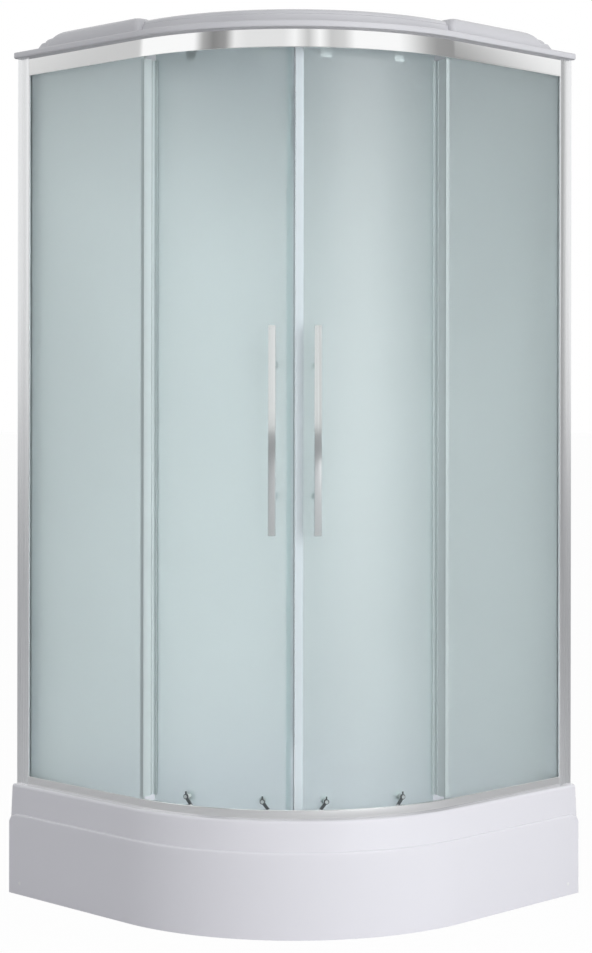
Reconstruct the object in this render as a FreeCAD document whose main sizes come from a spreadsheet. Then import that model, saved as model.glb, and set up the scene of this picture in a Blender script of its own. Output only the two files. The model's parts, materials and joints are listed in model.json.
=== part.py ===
import FreeCAD, Part
import os
import re

import Sketcher
from FreeCAD import Rotation, Vector

# Quadrant shower enclosure: a corner cabin with a deep tray, two flat fixed panes, two curved
# sliding doors on rollers, two wall panels and a domed roof.
#
# Frame: millimetres, +Z up. The origin is on the floor, in the middle of the square that the
# enclosure stands in. The room corner is at (-X, +Y) and the curved front faces (+X, -Y).
# Every outline is the same quadrant, set in by a distance: a straight leg, a round front and
# a second straight leg. The middle of the round front is called the arc centre.
# Small pieces on a door are drawn about the arc centre, with local X pointing outwards.

# ---------------------------------------------------------------------------------------------
# Driving sizes
# ---------------------------------------------------------------------------------------------

SIZES = [
    # whole enclosure
    ("tray_width", 1000, "side of the square that the tray fills"),
    ("arc_radius", 550, "radius of the round front, at the apron"),
    ("tray_height", 270, "floor to the top of the tray rim"),
    ("frame_height", 1800, "tray rim to the top of the upper rail"),
    # tray
    ("skirt_height", 70, "height of the moulded rim of the tray"),
    ("skirt_set_back", 3, "foot of the rim, behind the apron's face"),
    ("skirt_draft", 6, "how far the rim leans in towards its top"),
    ("shell", 4, "thickness of the acrylic tray"),
    ("rim_width", 106, "flat rim at the front, from the apron's face"),
    ("back_rim_width", 62, "flat rim along the two walls"),
    ("basin_depth", 112, "depth of the basin"),
    ("basin_draft", 22, "how far the basin wall leans in"),
    ("basin_corner", 55, "rounding of the basin's back corner and side corners"),
    ("basin_floor_round", 14, "eased edge between the basin's wall and floor"),
    ("basin_edge_round", 5, "eased inner edge of the rim"),
    ("rim_round", 4, "eased top edge of the rim's front"),
    # apron
    ("apron_wall", 4, "thickness of the front panel"),
    ("apron_ground_gap", 8, "gap under the front panel"),
    ("apron_lip", 12, "depth of the panel's folded top edge"),
    ("hanger_inset", 18, "front face of the apron's hangers"),
    ("hanger_thick", 5, "thickness of the apron's hangers"),
    ("seat_gap", 0.3, "gap at a seat that is not a fit"),
    ("past", 1, "how far a cut, or a form that merges, runs past its edge"),
    ("apron_screw_in", 42, "panel screw, from the wall"),
    ("apron_screw_up", 30, "panel screw, from the floor"),
    ("apron_screw_cap", 5.5, "radius of the screw's cap"),
    # support frame and feet
    ("bar_side", 25, "side of the square steel tube"),
    ("bar_wall", 2, "wall of the steel tube"),
    ("bar_place", 260, "tube lines, from the middle"),
    ("bar_reach", 400, "end of the long tubes, from the middle"),
    ("bar_short_reach", 300, "end of the short tubes, from the middle"),
    ("foot_reach", 380, "outer feet, from the middle"),
    ("foot_pad_radius", 20, "radius of a foot's pad"),
    ("foot_pad_height", 12, "height of a foot's pad"),
    ("foot_stud_radius", 6, "threaded stud of a foot"),
    ("foot_nut_radius", 11, "nut of a foot, across its corners"),
    ("foot_nut_height", 10, "height of a foot's nut"),
    # waste
    ("waste_radius", 45, "hole in the basin for the waste"),
    ("waste_flange", 57, "radius of the waste's cover"),
    ("cover_rise", 6, "crown of the waste's cover, above the basin's floor"),
    ("cover_edge", 2, "edge of the cover, above the basin's floor"),
    ("cover_bevel", 8, "width of the cover's sloping edge"),
    ("cover_skirt", 3, "depth of the cover in the waste's hole"),
    ("trap_flange_height", 6, "height of the trap's flange"),
    ("trap_radius", 48, "body of the trap"),
    ("trap_bottom", 62, "underside of the trap, from the floor"),
    ("spigot_radius", 20, "waste pipe outlet"),
    ("spigot_reach", 96, "end of the outlet, from the middle"),
    ("spigot_up", 28, "middle of the outlet, above the trap's underside"),
    ("spigot_collar", 26, "radius of the collar at the outlet's root"),
    ("spigot_collar_reach", 52, "end of the collar, from the middle"),
    # frame: insets are measured inwards from the apron's face
    ("rail_inset", 25, "front face of the rails and stiles"),
    ("rail_web", 3, "front wall of a rail"),
    ("pane_inset", 31, "front face of the fixed panes"),
    ("glass", 5, "thickness of panes and doors"),
    ("rib_inset", 38, "rib behind the fixed panes"),
    ("rib", 2, "thickness of ribs and lips"),
    ("track_width", 22, "clear width of the roller track"),
    ("door_inset", 72, "front face of the doors"),
    ("rail_back", 86, "back edge of the rails"),
    ("upper_rail_height", 45, "height of the upper rail"),
    ("lower_rail_height", 22, "height of the lower rail"),
    ("rail_floor", 2.5, "thickness of the rails' flat walls"),
    ("upper_track_up", 10, "underside of the upper track, above the rail's foot"),
    ("track_lip", 3.5, "height of the lip that keeps the rollers in"),
    ("stile_width", 45, "face of a stile, along the wall leg"),
    ("stile_wall", 2.5, "wall of a stile"),
    ("stile_depth", 41, "depth of a stile, from its face"),
    ("slot_gap", 0.4, "gap on each side of a pane in its slot"),
    ("pane_in_stile", 33, "how far a fixed pane goes into its stile"),
    ("pane_past_leg", 20, "how far a fixed pane runs past the straight leg"),
    ("pane_below_top", 10, "top of the fixed panes, below the rail's top"),
    ("bracket_length", 18, "length of a rail end bracket"),
    ("stop_length", 12, "length of a door stop"),
    ("stop_place", 246, "face of a door stop, from the middle"),
    # walls
    ("panel", 5, "thickness of the wall panels"),
    ("trim_leg", 30, "leg of the edge trims on the wall panels"),
    ("trim_wall", 2, "thickness of trims and corner post"),
    ("corner_leg", 26, "leg of the corner post"),
    ("clip_radius", 5.5, "head of a trim screw"),
    ("clip_height", 3, "height of a trim screw's head"),
    ("clip_low", 62, "lowest trim screw, above the tray"),
    ("clip_high", 88, "highest trim screw, below the rail's top"),
    # roof
    ("roof_inset", 9, "edge of the roof's flange"),
    ("flange_height", 15, "height of the roof's flange"),
    ("shoulder_inset", 45, "foot of the dome"),
    ("shoulder_height", 50, "top of the dome's steep part, above the rail"),
    ("shoulder_draft", 21, "how far the steep part leans in"),
    ("crown_inset", 330, "edge of the dome's middle"),
    ("crown_height", 80, "top of the roof, above the rail"),
    ("roof_shell", 3.5, "thickness of the roof"),
    ("roof_opening", 92, "inner edge of the flange's underside"),
    ("wing_inset", 30, "foot of a wing, on the roof's legs"),
    ("wing_height", 53, "top of a wing, above the rail"),
    ("wing_width", 60, "width of a wing"),
    ("wing_start", 105, "foot of a wing, from the wall"),
    ("wing_end", 58, "foot of a wing, from the middle line"),
    ("wing_lean", 46, "how far a wing's wall end slopes"),
    ("wing_step", 12, "how far a wing's front end slopes"),
    ("wing_face_slope", 8, "how far a wing's outer face slopes"),
    ("wing_back_slope", 14, "how far a wing's inner face slopes"),
    # doors: angles are measured from the seam, about the arc centre
    ("door_start", 1.2, "door glass, first edge, degrees"),
    ("door_end", 43.2, "door glass, last edge, degrees"),
    ("door_below_top", 8, "top of the doors, below the rail's top"),
    ("door_above_tray", 6, "foot of the doors, above the tray"),
    ("seal_start", 0.07, "magnetic seal, first edge, degrees"),
    ("seal_end", 2.3, "magnetic seal, last edge, degrees"),
    ("seal_wall", 2.2, "thickness of the seals on the glass"),
    ("edge_seal_reach", 9, "lip of the door's rear seal"),
    ("edge_seal_span", 1.3, "width of the door's rear seal, degrees"),
    ("pane_grip", 9, "how far the fixed pane's seal grips the pane"),
    ("pane_lip_reach", 21, "lip of the fixed pane's seal"),
    ("seal_margin", 4, "end of the seals, from the rails"),
    # handles
    ("handle_angle", 5.8, "middle of a handle, degrees from the seam"),
    ("handle_bottom", 914, "foot of a handle, from the floor"),
    ("handle_length", 480, "length of a handle"),
    ("handle_width", 17, "width of a handle"),
    ("handle_thick", 9, "thickness of a handle"),
    ("handle_stand", 36, "gap between a handle and the glass"),
    ("handle_post_in", 90, "handle post, from the handle's end"),
    ("handle_post_radius", 6, "radius of a handle post"),
    ("handle_cap_radius", 10, "inner cap of a handle post"),
    ("handle_cap_height", 7, "height of the inner cap"),
    # rollers
    ("inner_roller", 8.6, "rollers beside the seam, degrees"),
    ("outer_roller", 30.8, "rollers beside the wall, degrees"),
    ("roller_inset", 51, "middle of the rollers, from the apron's face"),
    ("wheel_width", 5, "width of a roller"),
    ("upper_wheel", 11, "radius of an upper roller"),
    ("lower_wheel", 8, "radius of a lower roller"),
    ("wheel_gap", 0.2, "gap under a roller"),
    ("upper_axle", 4, "axle of an upper roller"),
    ("lower_axle", 3, "axle of a lower roller"),
    ("running_gap", 0.08, "gap round an axle or a pivot"),
    ("carrier_width", 26, "width of an upper roller's carrier"),
    ("carrier_height", 50, "height of an upper roller's carrier"),
    ("carrier_thick", 4, "thickness of an upper roller's carrier"),
    ("boss_radius", 5, "boss between a carrier and the roller"),
    ("boss_gap", 1, "gap between a boss and its roller"),
    ("axle_end", 0.7, "end of an axle, past its roller"),
    ("plate_gap", 1.3, "gap between the door and a carrier's plate"),
    ("stud_radius", 5.5, "stud that goes through the glass"),
    ("pivot_up", 34, "pivot of a lower roller, above the tray"),
    ("pivot_radius", 4, "pivot of a lower roller"),
    ("pivot_head", 6, "washer of a lower roller's pivot"),
    ("pivot_end", 1.5, "end of a pivot, past its arm"),
    ("pivot_cap_height", 7, "height of a pivot's inner cap"),
    ("arm_reach", 18, "lower roller, beside its pivot"),
    ("arm_thick", 4, "thickness of a lower roller's arm"),
    ("arm_inset", 57, "front face of the arm"),
    ("arm_eye", 6, "radius of the arm's pivot end"),
    ("arm_tip", 4.2, "radius of the arm's roller end"),
    ("button_radius", 2, "radius of the release button on an arm"),
    ("button_sunk", 1, "how deep the button is set in the arm"),
    ("button_height", 7, "height of the release button"),
]

DOOR_SIDES = {"left": -1, "right": 1}
ROLLER_PLACES = ("inner", "outer")
SEAM_TURN = -45
CLIPS_PER_WALL = 4
QUARTER_START = -1.5707963267948966

doc = FreeCAD.newDocument("QuadrantShower")
sheet = doc.addObject("Spreadsheet::Sheet", "Sizes")
for row, (alias, value, meaning) in enumerate(SIZES, start=1):
    sheet.set("A%d" % row, alias)
    sheet.set("B%d" % row, str(value))
    sheet.set("C%d" % row, meaning)
    sheet.setAlias("B%d" % row, alias)
doc.recompute()

ALIASES = {alias for alias, value, meaning in SIZES}

# Sizes that follow from the driving sizes, written once as formulas.
HALF = "tray_width / 2"
LEG = "(tray_width / 2 - arc_radius)"
RAIL_TOP = "(tray_height + frame_height)"
RAIL_FOOT = "(tray_height + frame_height - upper_rail_height)"
UPPER_TRACK = "(tray_height + frame_height - upper_rail_height + upper_track_up + rail_floor)"
UPPER_AXLE_Z = "(%s + wheel_gap + upper_wheel)" % UPPER_TRACK
LOWER_AXLE_Z = "(tray_height + rail_floor + wheel_gap + lower_wheel)"
PIVOT_Z = "(tray_height + pivot_up)"
DOOR_FOOT = "(tray_height + door_above_tray)"
DOOR_TOP = "(tray_height + frame_height - door_below_top)"
DOOR_OUTER = "(arc_radius - door_inset)"
DOOR_INNER = "(arc_radius - door_inset - glass)"
SKIRT_FOOT = "(tray_height - skirt_height + seat_gap)"
BASIN_FLOOR = "(tray_height - basin_depth)"
BAR_TOP = "(tray_height - basin_depth - shell - seat_gap)"
STILE_EDGE = "(tray_width / 2 - stile_width)"
TRACK_LIP_INSET = "(rib_inset + rib + track_width)"
SEAL_FOOT = "(tray_height + lower_rail_height + seal_margin)"
SEAL_TOP = "(tray_height + frame_height - upper_rail_height - seal_margin)"


# ---------------------------------------------------------------------------------------------
# Helpers
# ---------------------------------------------------------------------------------------------

def qualified(formula):
    """Names the sheet in front of every size of a formula."""
    return re.sub(r"[a-z_]+", lambda word: "Sizes." + word.group() if word.group() in ALIASES
                  else word.group(), formula)


def number(formula):
    """The present value of a formula."""
    return float(sheet.evalExpression(str(formula)))


def bind(item, name, formula):
    item.setExpression(name, qualified(str(formula)))


def place(item, x="0", y="0", z="0", turn="0"):
    """Binds an object's place, and its turn about a vertical axis."""
    item.Placement = FreeCAD.Placement(Vector(number(x), number(y), number(z)),
                                       Rotation(Vector(0, 0, 1), number(turn)))
    bind(item, "Placement.Base.x", x)
    bind(item, "Placement.Base.y", y)
    bind(item, "Placement.Base.z", z)
    bind(item, "Placement.Rotation.Angle", turn)
    return item


def round_centre(item, turn):
    """Places an object at the arc centre, so that its local X points outwards at a turn."""
    return place(item, LEG, "-" + LEG, "0", turn)


def new_body(label):
    body = doc.addObject("PartDesign::Body", label)
    body.Label = label
    return body


def origin_plane(body, role):
    return [item for item in body.Origin.OriginFeatures if item.Role == role][0]


def new_sketch(body, name, role="XY_Plane", offset="0"):
    """An empty sketch on a plane of its own body, moved along the plane's normal."""
    sketch = body.newObject("Sketcher::SketchObject", body.Label + "_" + name)
    sketch.AttachmentSupport = [(origin_plane(body, role), "")]
    sketch.MapMode = "FlatFace"
    sketch.AttachmentOffset = FreeCAD.Placement(Vector(0, 0, number(offset)), Rotation())
    bind(sketch, "AttachmentOffset.Base.z", offset)
    return sketch


def pin_point(sketch, edge, end, x, y):
    """Holds an edge's end at a place given by two formulas."""
    for kind, formula in (("DistanceX", x), ("DistanceY", y)):
        index = sketch.addConstraint(Sketcher.Constraint(kind, -1, 1, edge, end, number(formula)))
        bind(sketch, "Constraints[%d]" % index, formula)


def draw_polygon(sketch, points):
    """A closed outline with a straight edge from each point to the next."""
    places = [Vector(number(x), number(y), 0) for x, y in points]
    first = sketch.GeometryCount
    for here, there in zip(places, places[1:] + places[:1]):
        sketch.addGeometry(Part.LineSegment(here, there), False)
    count = len(points)
    for step in range(count):
        sketch.addConstraint(Sketcher.Constraint("Coincident", first + step, 2,
                                                 first + (step + 1) % count, 1))
    for step, (x, y) in enumerate(points):
        pin_point(sketch, first + step, 1, x, y)
    return sketch


def draw_box(sketch, x0, x1, y0, y1):
    return draw_polygon(sketch, [(x0, y0), (x1, y0), (x1, y1), (x0, y1)])


def draw_circle(sketch, x, y, radius):
    index = sketch.addGeometry(Part.Circle(Vector(number(x), number(y), 0), Vector(0, 0, 1),
                                           number(radius)), False)
    pin_point(sketch, index, 3, x, y)
    held = sketch.addConstraint(Sketcher.Constraint("Radius", index, number(radius)))
    bind(sketch, "Constraints[%d]" % held, radius)
    return sketch


def draw_quadrant(sketch, inset, wall_inset):
    """The closed quadrant outline, set in at the front and, apart from that, at the walls."""
    front = "(%s - (%s))" % (HALF, inset)
    wall = "(%s - (%s))" % (HALF, wall_inset)
    corners = [("-" + wall, "-" + front), (LEG, "-" + front), (front, "-" + LEG),
               (front, wall), ("-" + wall, wall)]
    spots = [Vector(number(x), number(y), 0) for x, y in corners]
    centre = Vector(number(LEG), -number(LEG), 0)
    radius = number("arc_radius - (%s)" % inset)
    sketch.addGeometry(Part.LineSegment(spots[0], spots[1]), False)
    sketch.addGeometry(Part.ArcOfCircle(Part.Circle(centre, Vector(0, 0, 1), radius),
                                        QUARTER_START, 0), False)
    sketch.addGeometry(Part.LineSegment(spots[2], spots[3]), False)
    sketch.addGeometry(Part.LineSegment(spots[3], spots[4]), False)
    sketch.addGeometry(Part.LineSegment(spots[4], spots[0]), False)
    for edge, following in ((0, 1), (1, 2), (2, 3), (3, 4), (4, 0)):
        sketch.addConstraint(Sketcher.Constraint("Coincident", edge, 2, following, 1))
    pin_point(sketch, 1, 3, LEG, "-" + LEG)
    pin_point(sketch, 0, 1, *corners[0])
    pin_point(sketch, 0, 2, *corners[1])
    held = sketch.addConstraint(Sketcher.Constraint("DistanceY", -1, 1, 1, 2, number("-" + LEG)))
    bind(sketch, "Constraints[%d]" % held, "-" + LEG)
    pin_point(sketch, 2, 2, *corners[3])
    pin_point(sketch, 3, 2, *corners[4])
    return sketch


def draw_round_quadrant(sketch, inset, wall_inset, corner):
    """The quadrant outline with its three square corners rounded."""
    front, wall = "(%s - (%s))" % (HALF, inset), "(%s - (%s))" % (HALF, wall_inset)
    far_front, far_wall = "(%s - %s)" % (front, corner), "(%s - %s)" % (wall, corner)
    # Each round: its centre, its two ends, and which way its far end is held.
    rounds = [(LEG, "-" + LEG, LEG, "-" + front, front, "-" + LEG, "DistanceY"),
              (far_front, far_wall, front, far_wall, far_front, wall, "DistanceX"),
              ("-" + far_wall, far_wall, "-" + far_wall, wall, "-" + wall, far_wall, "DistanceY"),
              ("-" + far_wall, "-" + far_front, "-" + wall, "-" + far_front, "-" + far_wall,
               "-" + front, "DistanceX")]
    spots = [[number(value) for value in row[:6]] for row in rounds]
    for step, (cx, cy, x0, y0, x1, y1) in enumerate(spots):
        before = spots[step - 1]
        sketch.addGeometry(Part.LineSegment(Vector(before[4], before[5], 0), Vector(x0, y0, 0)),
                           False)
        circle = Part.Circle(Vector(cx, cy, 0), Vector(0, 0, 1), abs(x0 - cx) + abs(y0 - cy))
        start = QUARTER_START * (1 - step)
        sketch.addGeometry(Part.ArcOfCircle(circle, start, start - QUARTER_START), False)
    count = 2 * len(rounds)
    for edge in range(count):
        sketch.addConstraint(Sketcher.Constraint("Coincident", edge, 2, (edge + 1) % count, 1))
    for step, (cx, cy, x0, y0, x1, y1, kind) in enumerate(rounds):
        edge = 2 * step + 1
        pin_point(sketch, edge, 3, cx, cy)
        pin_point(sketch, edge, 1, x0, y0)
        held = x1 if kind == "DistanceX" else y1
        index = sketch.addConstraint(Sketcher.Constraint(kind, -1, 1, edge, 2, number(held)))
        bind(sketch, "Constraints[%d]" % index, held)
    return sketch


def draw_band(sketch, outer, inner, end):
    """The strip between two insets of the quadrant front, stopped short of both walls."""
    out = "(%s - (%s))" % (HALF, outer)
    back = "(%s - (%s))" % (HALF, inner)
    stop = "(%s - (%s))" % (HALF, end)
    centre = Vector(number(LEG), -number(LEG), 0)
    axis = Vector(0, 0, 1)
    corners = [("-" + stop, "-" + out), (LEG, "-" + out), (out, "-" + LEG), (out, stop),
               (back, stop), (back, "-" + LEG), (LEG, "-" + back), ("-" + stop, "-" + back)]
    spots = [Vector(number(x), number(y), 0) for x, y in corners]
    outer_circle = Part.Circle(centre, axis, number("arc_radius - (%s)" % outer))
    inner_circle = Part.Circle(centre, axis, number("arc_radius - (%s)" % inner))
    sketch.addGeometry(Part.LineSegment(spots[0], spots[1]), False)
    sketch.addGeometry(Part.ArcOfCircle(outer_circle, QUARTER_START, 0), False)
    sketch.addGeometry(Part.LineSegment(spots[2], spots[3]), False)
    sketch.addGeometry(Part.LineSegment(spots[3], spots[4]), False)
    sketch.addGeometry(Part.LineSegment(spots[4], spots[5]), False)
    sketch.addGeometry(Part.ArcOfCircle(inner_circle, QUARTER_START, 0), False)
    sketch.addGeometry(Part.LineSegment(spots[6], spots[7]), False)
    sketch.addGeometry(Part.LineSegment(spots[7], spots[0]), False)
    joins = ((0, 2, 1, 1), (1, 2, 2, 1), (2, 2, 3, 1), (3, 2, 4, 1), (4, 2, 5, 2),
             (5, 1, 6, 1), (6, 2, 7, 1), (7, 2, 0, 1))
    for edge, end_a, following, end_b in joins:
        sketch.addConstraint(Sketcher.Constraint("Coincident", edge, end_a, following, end_b))
    pin_point(sketch, 1, 3, LEG, "-" + LEG)
    pin_point(sketch, 5, 3, LEG, "-" + LEG)
    for edge, corner in ((0, 0), (2, 2), (4, 4), (6, 6)):
        pin_point(sketch, edge, 1, *corners[corner])
    for edge, corner in ((2, 3), (6, 7)):
        pin_point(sketch, edge, 2, *corners[corner])
    # The other end of each arc only needs the height or the width at which its leg starts.
    for edge, end_held, kind, formula in ((1, 1, "DistanceX", LEG),
                                          (5, 2, "DistanceY", "-" + LEG)):
        held = sketch.addConstraint(Sketcher.Constraint(kind, -1, 1, edge, end_held,
                                                        number(formula)))
        bind(sketch, "Constraints[%d]" % held, formula)
    return sketch


def pad(body, sketch, length):
    feature = body.newObject("PartDesign::Pad", sketch.Label + "_pad")
    feature.Profile = sketch
    bind(feature, "Length", length)
    sketch.Visibility = False
    return feature


def pocket(body, sketch, length):
    """Cuts upwards from the sketch."""
    feature = body.newObject("PartDesign::Pocket", sketch.Label + "_pocket")
    feature.Profile = sketch
    feature.Reversed = True
    bind(feature, "Length", length)
    return feature


def loft(body, sketches, cuts=False):
    kind = "PartDesign::SubtractiveLoft" if cuts else "PartDesign::AdditiveLoft"
    feature = body.newObject(kind, sketches[0].Label + "_loft")
    feature.Profile = sketches[0]
    feature.Sections = sketches[1:]
    feature.Ruled = True
    return feature


def quadrant_loft(body, name, levels, cuts=False, corner=None):
    """A loft through quadrant outlines: levels are (height, inset, wall inset)."""
    sketches = []
    for step, (height, inset, wall_inset) in enumerate(levels):
        sketch = new_sketch(body, "%s_%d" % (name, step), offset=height)
        sketches.append(draw_round_quadrant(sketch, inset, wall_inset, corner) if corner
                        else draw_quadrant(sketch, inset, wall_inset))
    return loft(body, sketches, cuts)


def band_pads(body, rows, end):
    """Stacks strips of the quadrant front: rows are (name, outer, inner, foot, height)."""
    for name, outer, inner, foot, height in rows:
        sketch = new_sketch(body, name, offset=foot)
        pad(body, draw_band(sketch, outer, inner, end), height)
    return body


def box(name, x0, x1, y0, y1, z0, z1):
    item = doc.addObject("Part::Box", name)
    bind(item, "Length", "(%s) - (%s)" % (x1, x0))
    bind(item, "Width", "(%s) - (%s)" % (y1, y0))
    bind(item, "Height", "(%s) - (%s)" % (z1, z0))
    return place(item, x0, y0, z0)


def upright_cylinder(name, x, y, foot, height, radius):
    item = doc.addObject("Part::Cylinder", name)
    bind(item, "Radius", radius)
    bind(item, "Height", height)
    return place(item, x, y, foot)


def outward_cylinder(name, turn, height, sideways, start, end, radius):
    """A round bar that points outwards at a turn, between two distances from the arc centre."""
    item = doc.addObject("Part::Cylinder", name)
    bind(item, "Radius", radius)
    bind(item, "Height", "(%s) - (%s)" % (end, start))
    outwards = Rotation(Vector(0, 0, 1), number(turn)).multiply(Rotation(Vector(0, 1, 0), 90))
    item.Placement = FreeCAD.Placement(Vector(), outwards)
    reach, side = "(%s)" % start, "(%s)" % sideways
    bind(item, "Placement.Base.x", "%s + %s * cos(%s) - %s * sin(%s)"
         % (LEG, reach, turn, side, turn))
    bind(item, "Placement.Base.y", "-%s + %s * sin(%s) + %s * cos(%s)"
         % (LEG, reach, turn, side, turn))
    bind(item, "Placement.Base.z", height)
    return item


def fuse(label, items):
    item = doc.addObject("Part::MultiFuse", label)
    item.Label = label
    item.Shapes = items
    return item


def cut(label, base, tools):
    item = doc.addObject("Part::Cut", label)
    item.Label = label
    item.Base = base
    item.Tool = tools[0] if len(tools) == 1 else fuse(label + "_tools", tools)
    return item


def group(label, items):
    """Separate solids that share one node."""
    item = doc.addObject("Part::Compound", label)
    item.Label = label
    item.Links = items
    return item


nodes = []


def node(item, label=None):
    """Keeps a finished sub-part, under the name that its file gets."""
    if label:
        item.Label = label
    nodes.append(item)
    return item


def mirrored(x, y):
    """The same place on the other half of the enclosure."""
    return "-(%s)" % y, "-(%s)" % x


# ---------------------------------------------------------------------------------------------
# Tray, apron, support frame, feet and waste
# ---------------------------------------------------------------------------------------------

def make_tray():
    tray = new_body("shower_tray")
    skirt_top = "skirt_set_back + skirt_draft"
    rim_edge = skirt_top + " + rim_round"
    quadrant_loft(tray, "skirt", [(SKIRT_FOOT, "skirt_set_back", "0"),
                                  ("tray_height - rim_round", skirt_top, "0"),
                                  ("tray_height", rim_edge, "0")])
    quadrant_loft(tray, "hollow", [(SKIRT_FOOT, "skirt_set_back + shell", "shell"),
                                   ("tray_height - rim_round - shell", skirt_top + " + shell",
                                    "shell"),
                                   ("tray_height - shell", rim_edge + " + shell", "shell")],
                  cuts=True)
    # The basin's wall leans in, and both its upper and its lower edge are eased.
    front, back = "rim_width", "back_rim_width"
    low_front, low_back = front + " + basin_draft", back + " + basin_draft"
    floor_front, floor_back = (low_front + " + basin_floor_round",
                               low_back + " + basin_floor_round")
    quadrant_loft(tray, "tub", [
        ("tray_height - shell / 2", front + " - shell", back + " - shell"),
        (BASIN_FLOOR + " + basin_floor_round - shell", low_front + " - shell",
         low_back + " - shell"),
        (BASIN_FLOOR + " - shell", floor_front + " - shell", floor_back + " - shell")],
        corner="(basin_corner + shell)")
    quadrant_loft(tray, "basin", [
        ("tray_height", front + " - basin_edge_round", back + " - basin_edge_round"),
        ("tray_height - basin_edge_round", front, back),
        (BASIN_FLOOR + " + basin_floor_round", low_front, low_back),
        (BASIN_FLOOR, floor_front, floor_back)], cuts=True, corner="basin_corner")
    drain = draw_circle(new_sketch(tray, "drain", offset=BASIN_FLOOR + " - shell"),
                        "0", "0", "waste_radius")
    pocket(tray, drain, "2 * shell")
    return node(tray)


def make_apron():
    apron = new_body("apron_form")
    top = "tray_height - skirt_height"
    band_pads(apron, [("face", "0", "apron_wall", "apron_ground_gap",
                       "(%s) - apron_ground_gap" % top),
                      ("lip", "0", "apron_lip", "(%s) - apron_wall" % top, "apron_wall")], "0")
    brackets, screws, holes = [], [], []
    for side in DOOR_SIDES:
        foot = "apron_screw_up - bar_side / 2"
        x0, x1 = "-%s + panel" % HALF, "-%s + apron_screw_in + bar_side / 2" % HALF
        y0, y1 = "-%s + apron_wall" % HALF, "-%s + apron_wall + bar_side" % HALF
        if side == "right":
            x0, x1, y0, y1 = ("-(%s)" % y1, "-(%s)" % y0, "-(%s)" % x1, "-(%s)" % x0)
        block = box("apron_block_" + side, x0, x1, y0, y1, foot, foot + " + bar_side")
        # A flat hanger ties the block to the underside of the tray's rim.
        spans = on_side(side, "-%s + apron_screw_in - bar_side / 2" % HALF,
                        "-%s + apron_screw_in + bar_side / 2" % HALF,
                        "-%s + hanger_inset" % HALF, "-%s + hanger_inset + hanger_thick" % HALF)
        hanger = box("apron_hanger_" + side, *spans, "apron_screw_up", "tray_height - shell")
        brackets.append(fuse("apron_bracket_" + side, [block, hanger]))
        x, y = "-%s + apron_screw_in" % HALF, "-%s" % HALF
        turned = Rotation(Vector(1, 0, 0), -90)
        if side == "right":
            x, y = mirrored(x, y)
            turned = Rotation(Vector(0, 1, 0), -90)
        for name, radius, kept in (("screw", "apron_screw_cap", screws),
                                   ("hole", "apron_screw_cap + seat_gap", holes)):
            cap = doc.addObject("Part::Cylinder", "apron_%s_%s" % (name, side))
            bind(cap, "Radius", radius)
            bind(cap, "Height", "apron_wall")
            cap.Placement = FreeCAD.Placement(Vector(), turned)
            bind(cap, "Placement.Base.x", x)
            bind(cap, "Placement.Base.y", y)
            bind(cap, "Placement.Base.z", "apron_screw_up")
            kept.append(cap)
    node(cut("apron_panel", apron, holes))
    node(group("apron_brackets", brackets))
    node(group("apron_screws", screws))


def tube(name, x0, x1, y0, y1, shrink):
    """One steel tube, or its bore when shrunk by the wall."""
    foot, top = "%s - bar_side + %s" % (BAR_TOP, shrink), "%s - %s" % (BAR_TOP, shrink)
    return box(name, x0, x1, y0, y1, foot, top)


def make_support():
    half_bar = "bar_side / 2"
    outers, bores = [], []
    # Each line: along X or Y, where it lies, where it starts and where it ends.
    lines = (("X", "bar_place", "-bar_reach", "bar_reach"),
             ("X", "-bar_place", "-bar_reach", "bar_short_reach"),
             ("Y", "-bar_place", "-bar_reach", "bar_reach"),
             ("Y", "bar_place", "-bar_short_reach", "bar_reach"))
    for step, (along, line, start, end) in enumerate(lines):
        for kind, shrink, kept in (("tube", "0", outers), ("bore", "bar_wall", bores)):
            low = "%s - %s + %s" % (line, half_bar, shrink)
            high = "%s + %s - %s" % (line, half_bar, shrink)
            past = "0" if kind == "tube" else "bar_wall"
            first, last = "%s - %s" % (start, past), "%s + %s" % (end, past)
            spans = (first, last, low, high) if along == "X" else (low, high, first, last)
            kept.append(tube("support_%s_%d" % (kind, step), *spans, shrink=shrink))
    node(cut("tray_support_frame", fuse("support_tubes", outers), bores))

    places = (("-foot_reach", "-bar_place"), ("bar_place", "foot_reach"),
              ("-foot_reach", "bar_place"), ("-bar_place", "foot_reach"),
              ("bar_place", "-bar_place"))
    bar_foot = "(%s - bar_side)" % BAR_TOP
    pads, studs, nuts = [], [], []
    for step, (x, y) in enumerate(places):
        pads.append(upright_cylinder("foot_pad_%d" % step, x, y, "0", "foot_pad_height",
                                     "foot_pad_radius"))
        studs.append(upright_cylinder("foot_stud_%d" % step, x, y, "foot_pad_height",
                                      "%s - foot_pad_height" % bar_foot, "foot_stud_radius"))
        nut = doc.addObject("Part::Prism", "foot_nut_%d" % step)
        nut.Polygon = 6
        bind(nut, "Circumradius", "foot_nut_radius")
        bind(nut, "Height", "foot_nut_height")
        place(nut, x, y, "%s - foot_nut_height" % bar_foot)
        bore = upright_cylinder("foot_nut_bore_%d" % step, x, y,
                                "%s - foot_nut_height" % bar_foot, "foot_nut_height",
                                "foot_stud_radius")
        nuts.append(cut("foot_nut_cut_%d" % step, nut, [bore]))
    node(group("foot_pads", pads))
    node(group("foot_studs", studs))
    node(group("foot_lock_nuts", nuts))


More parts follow.
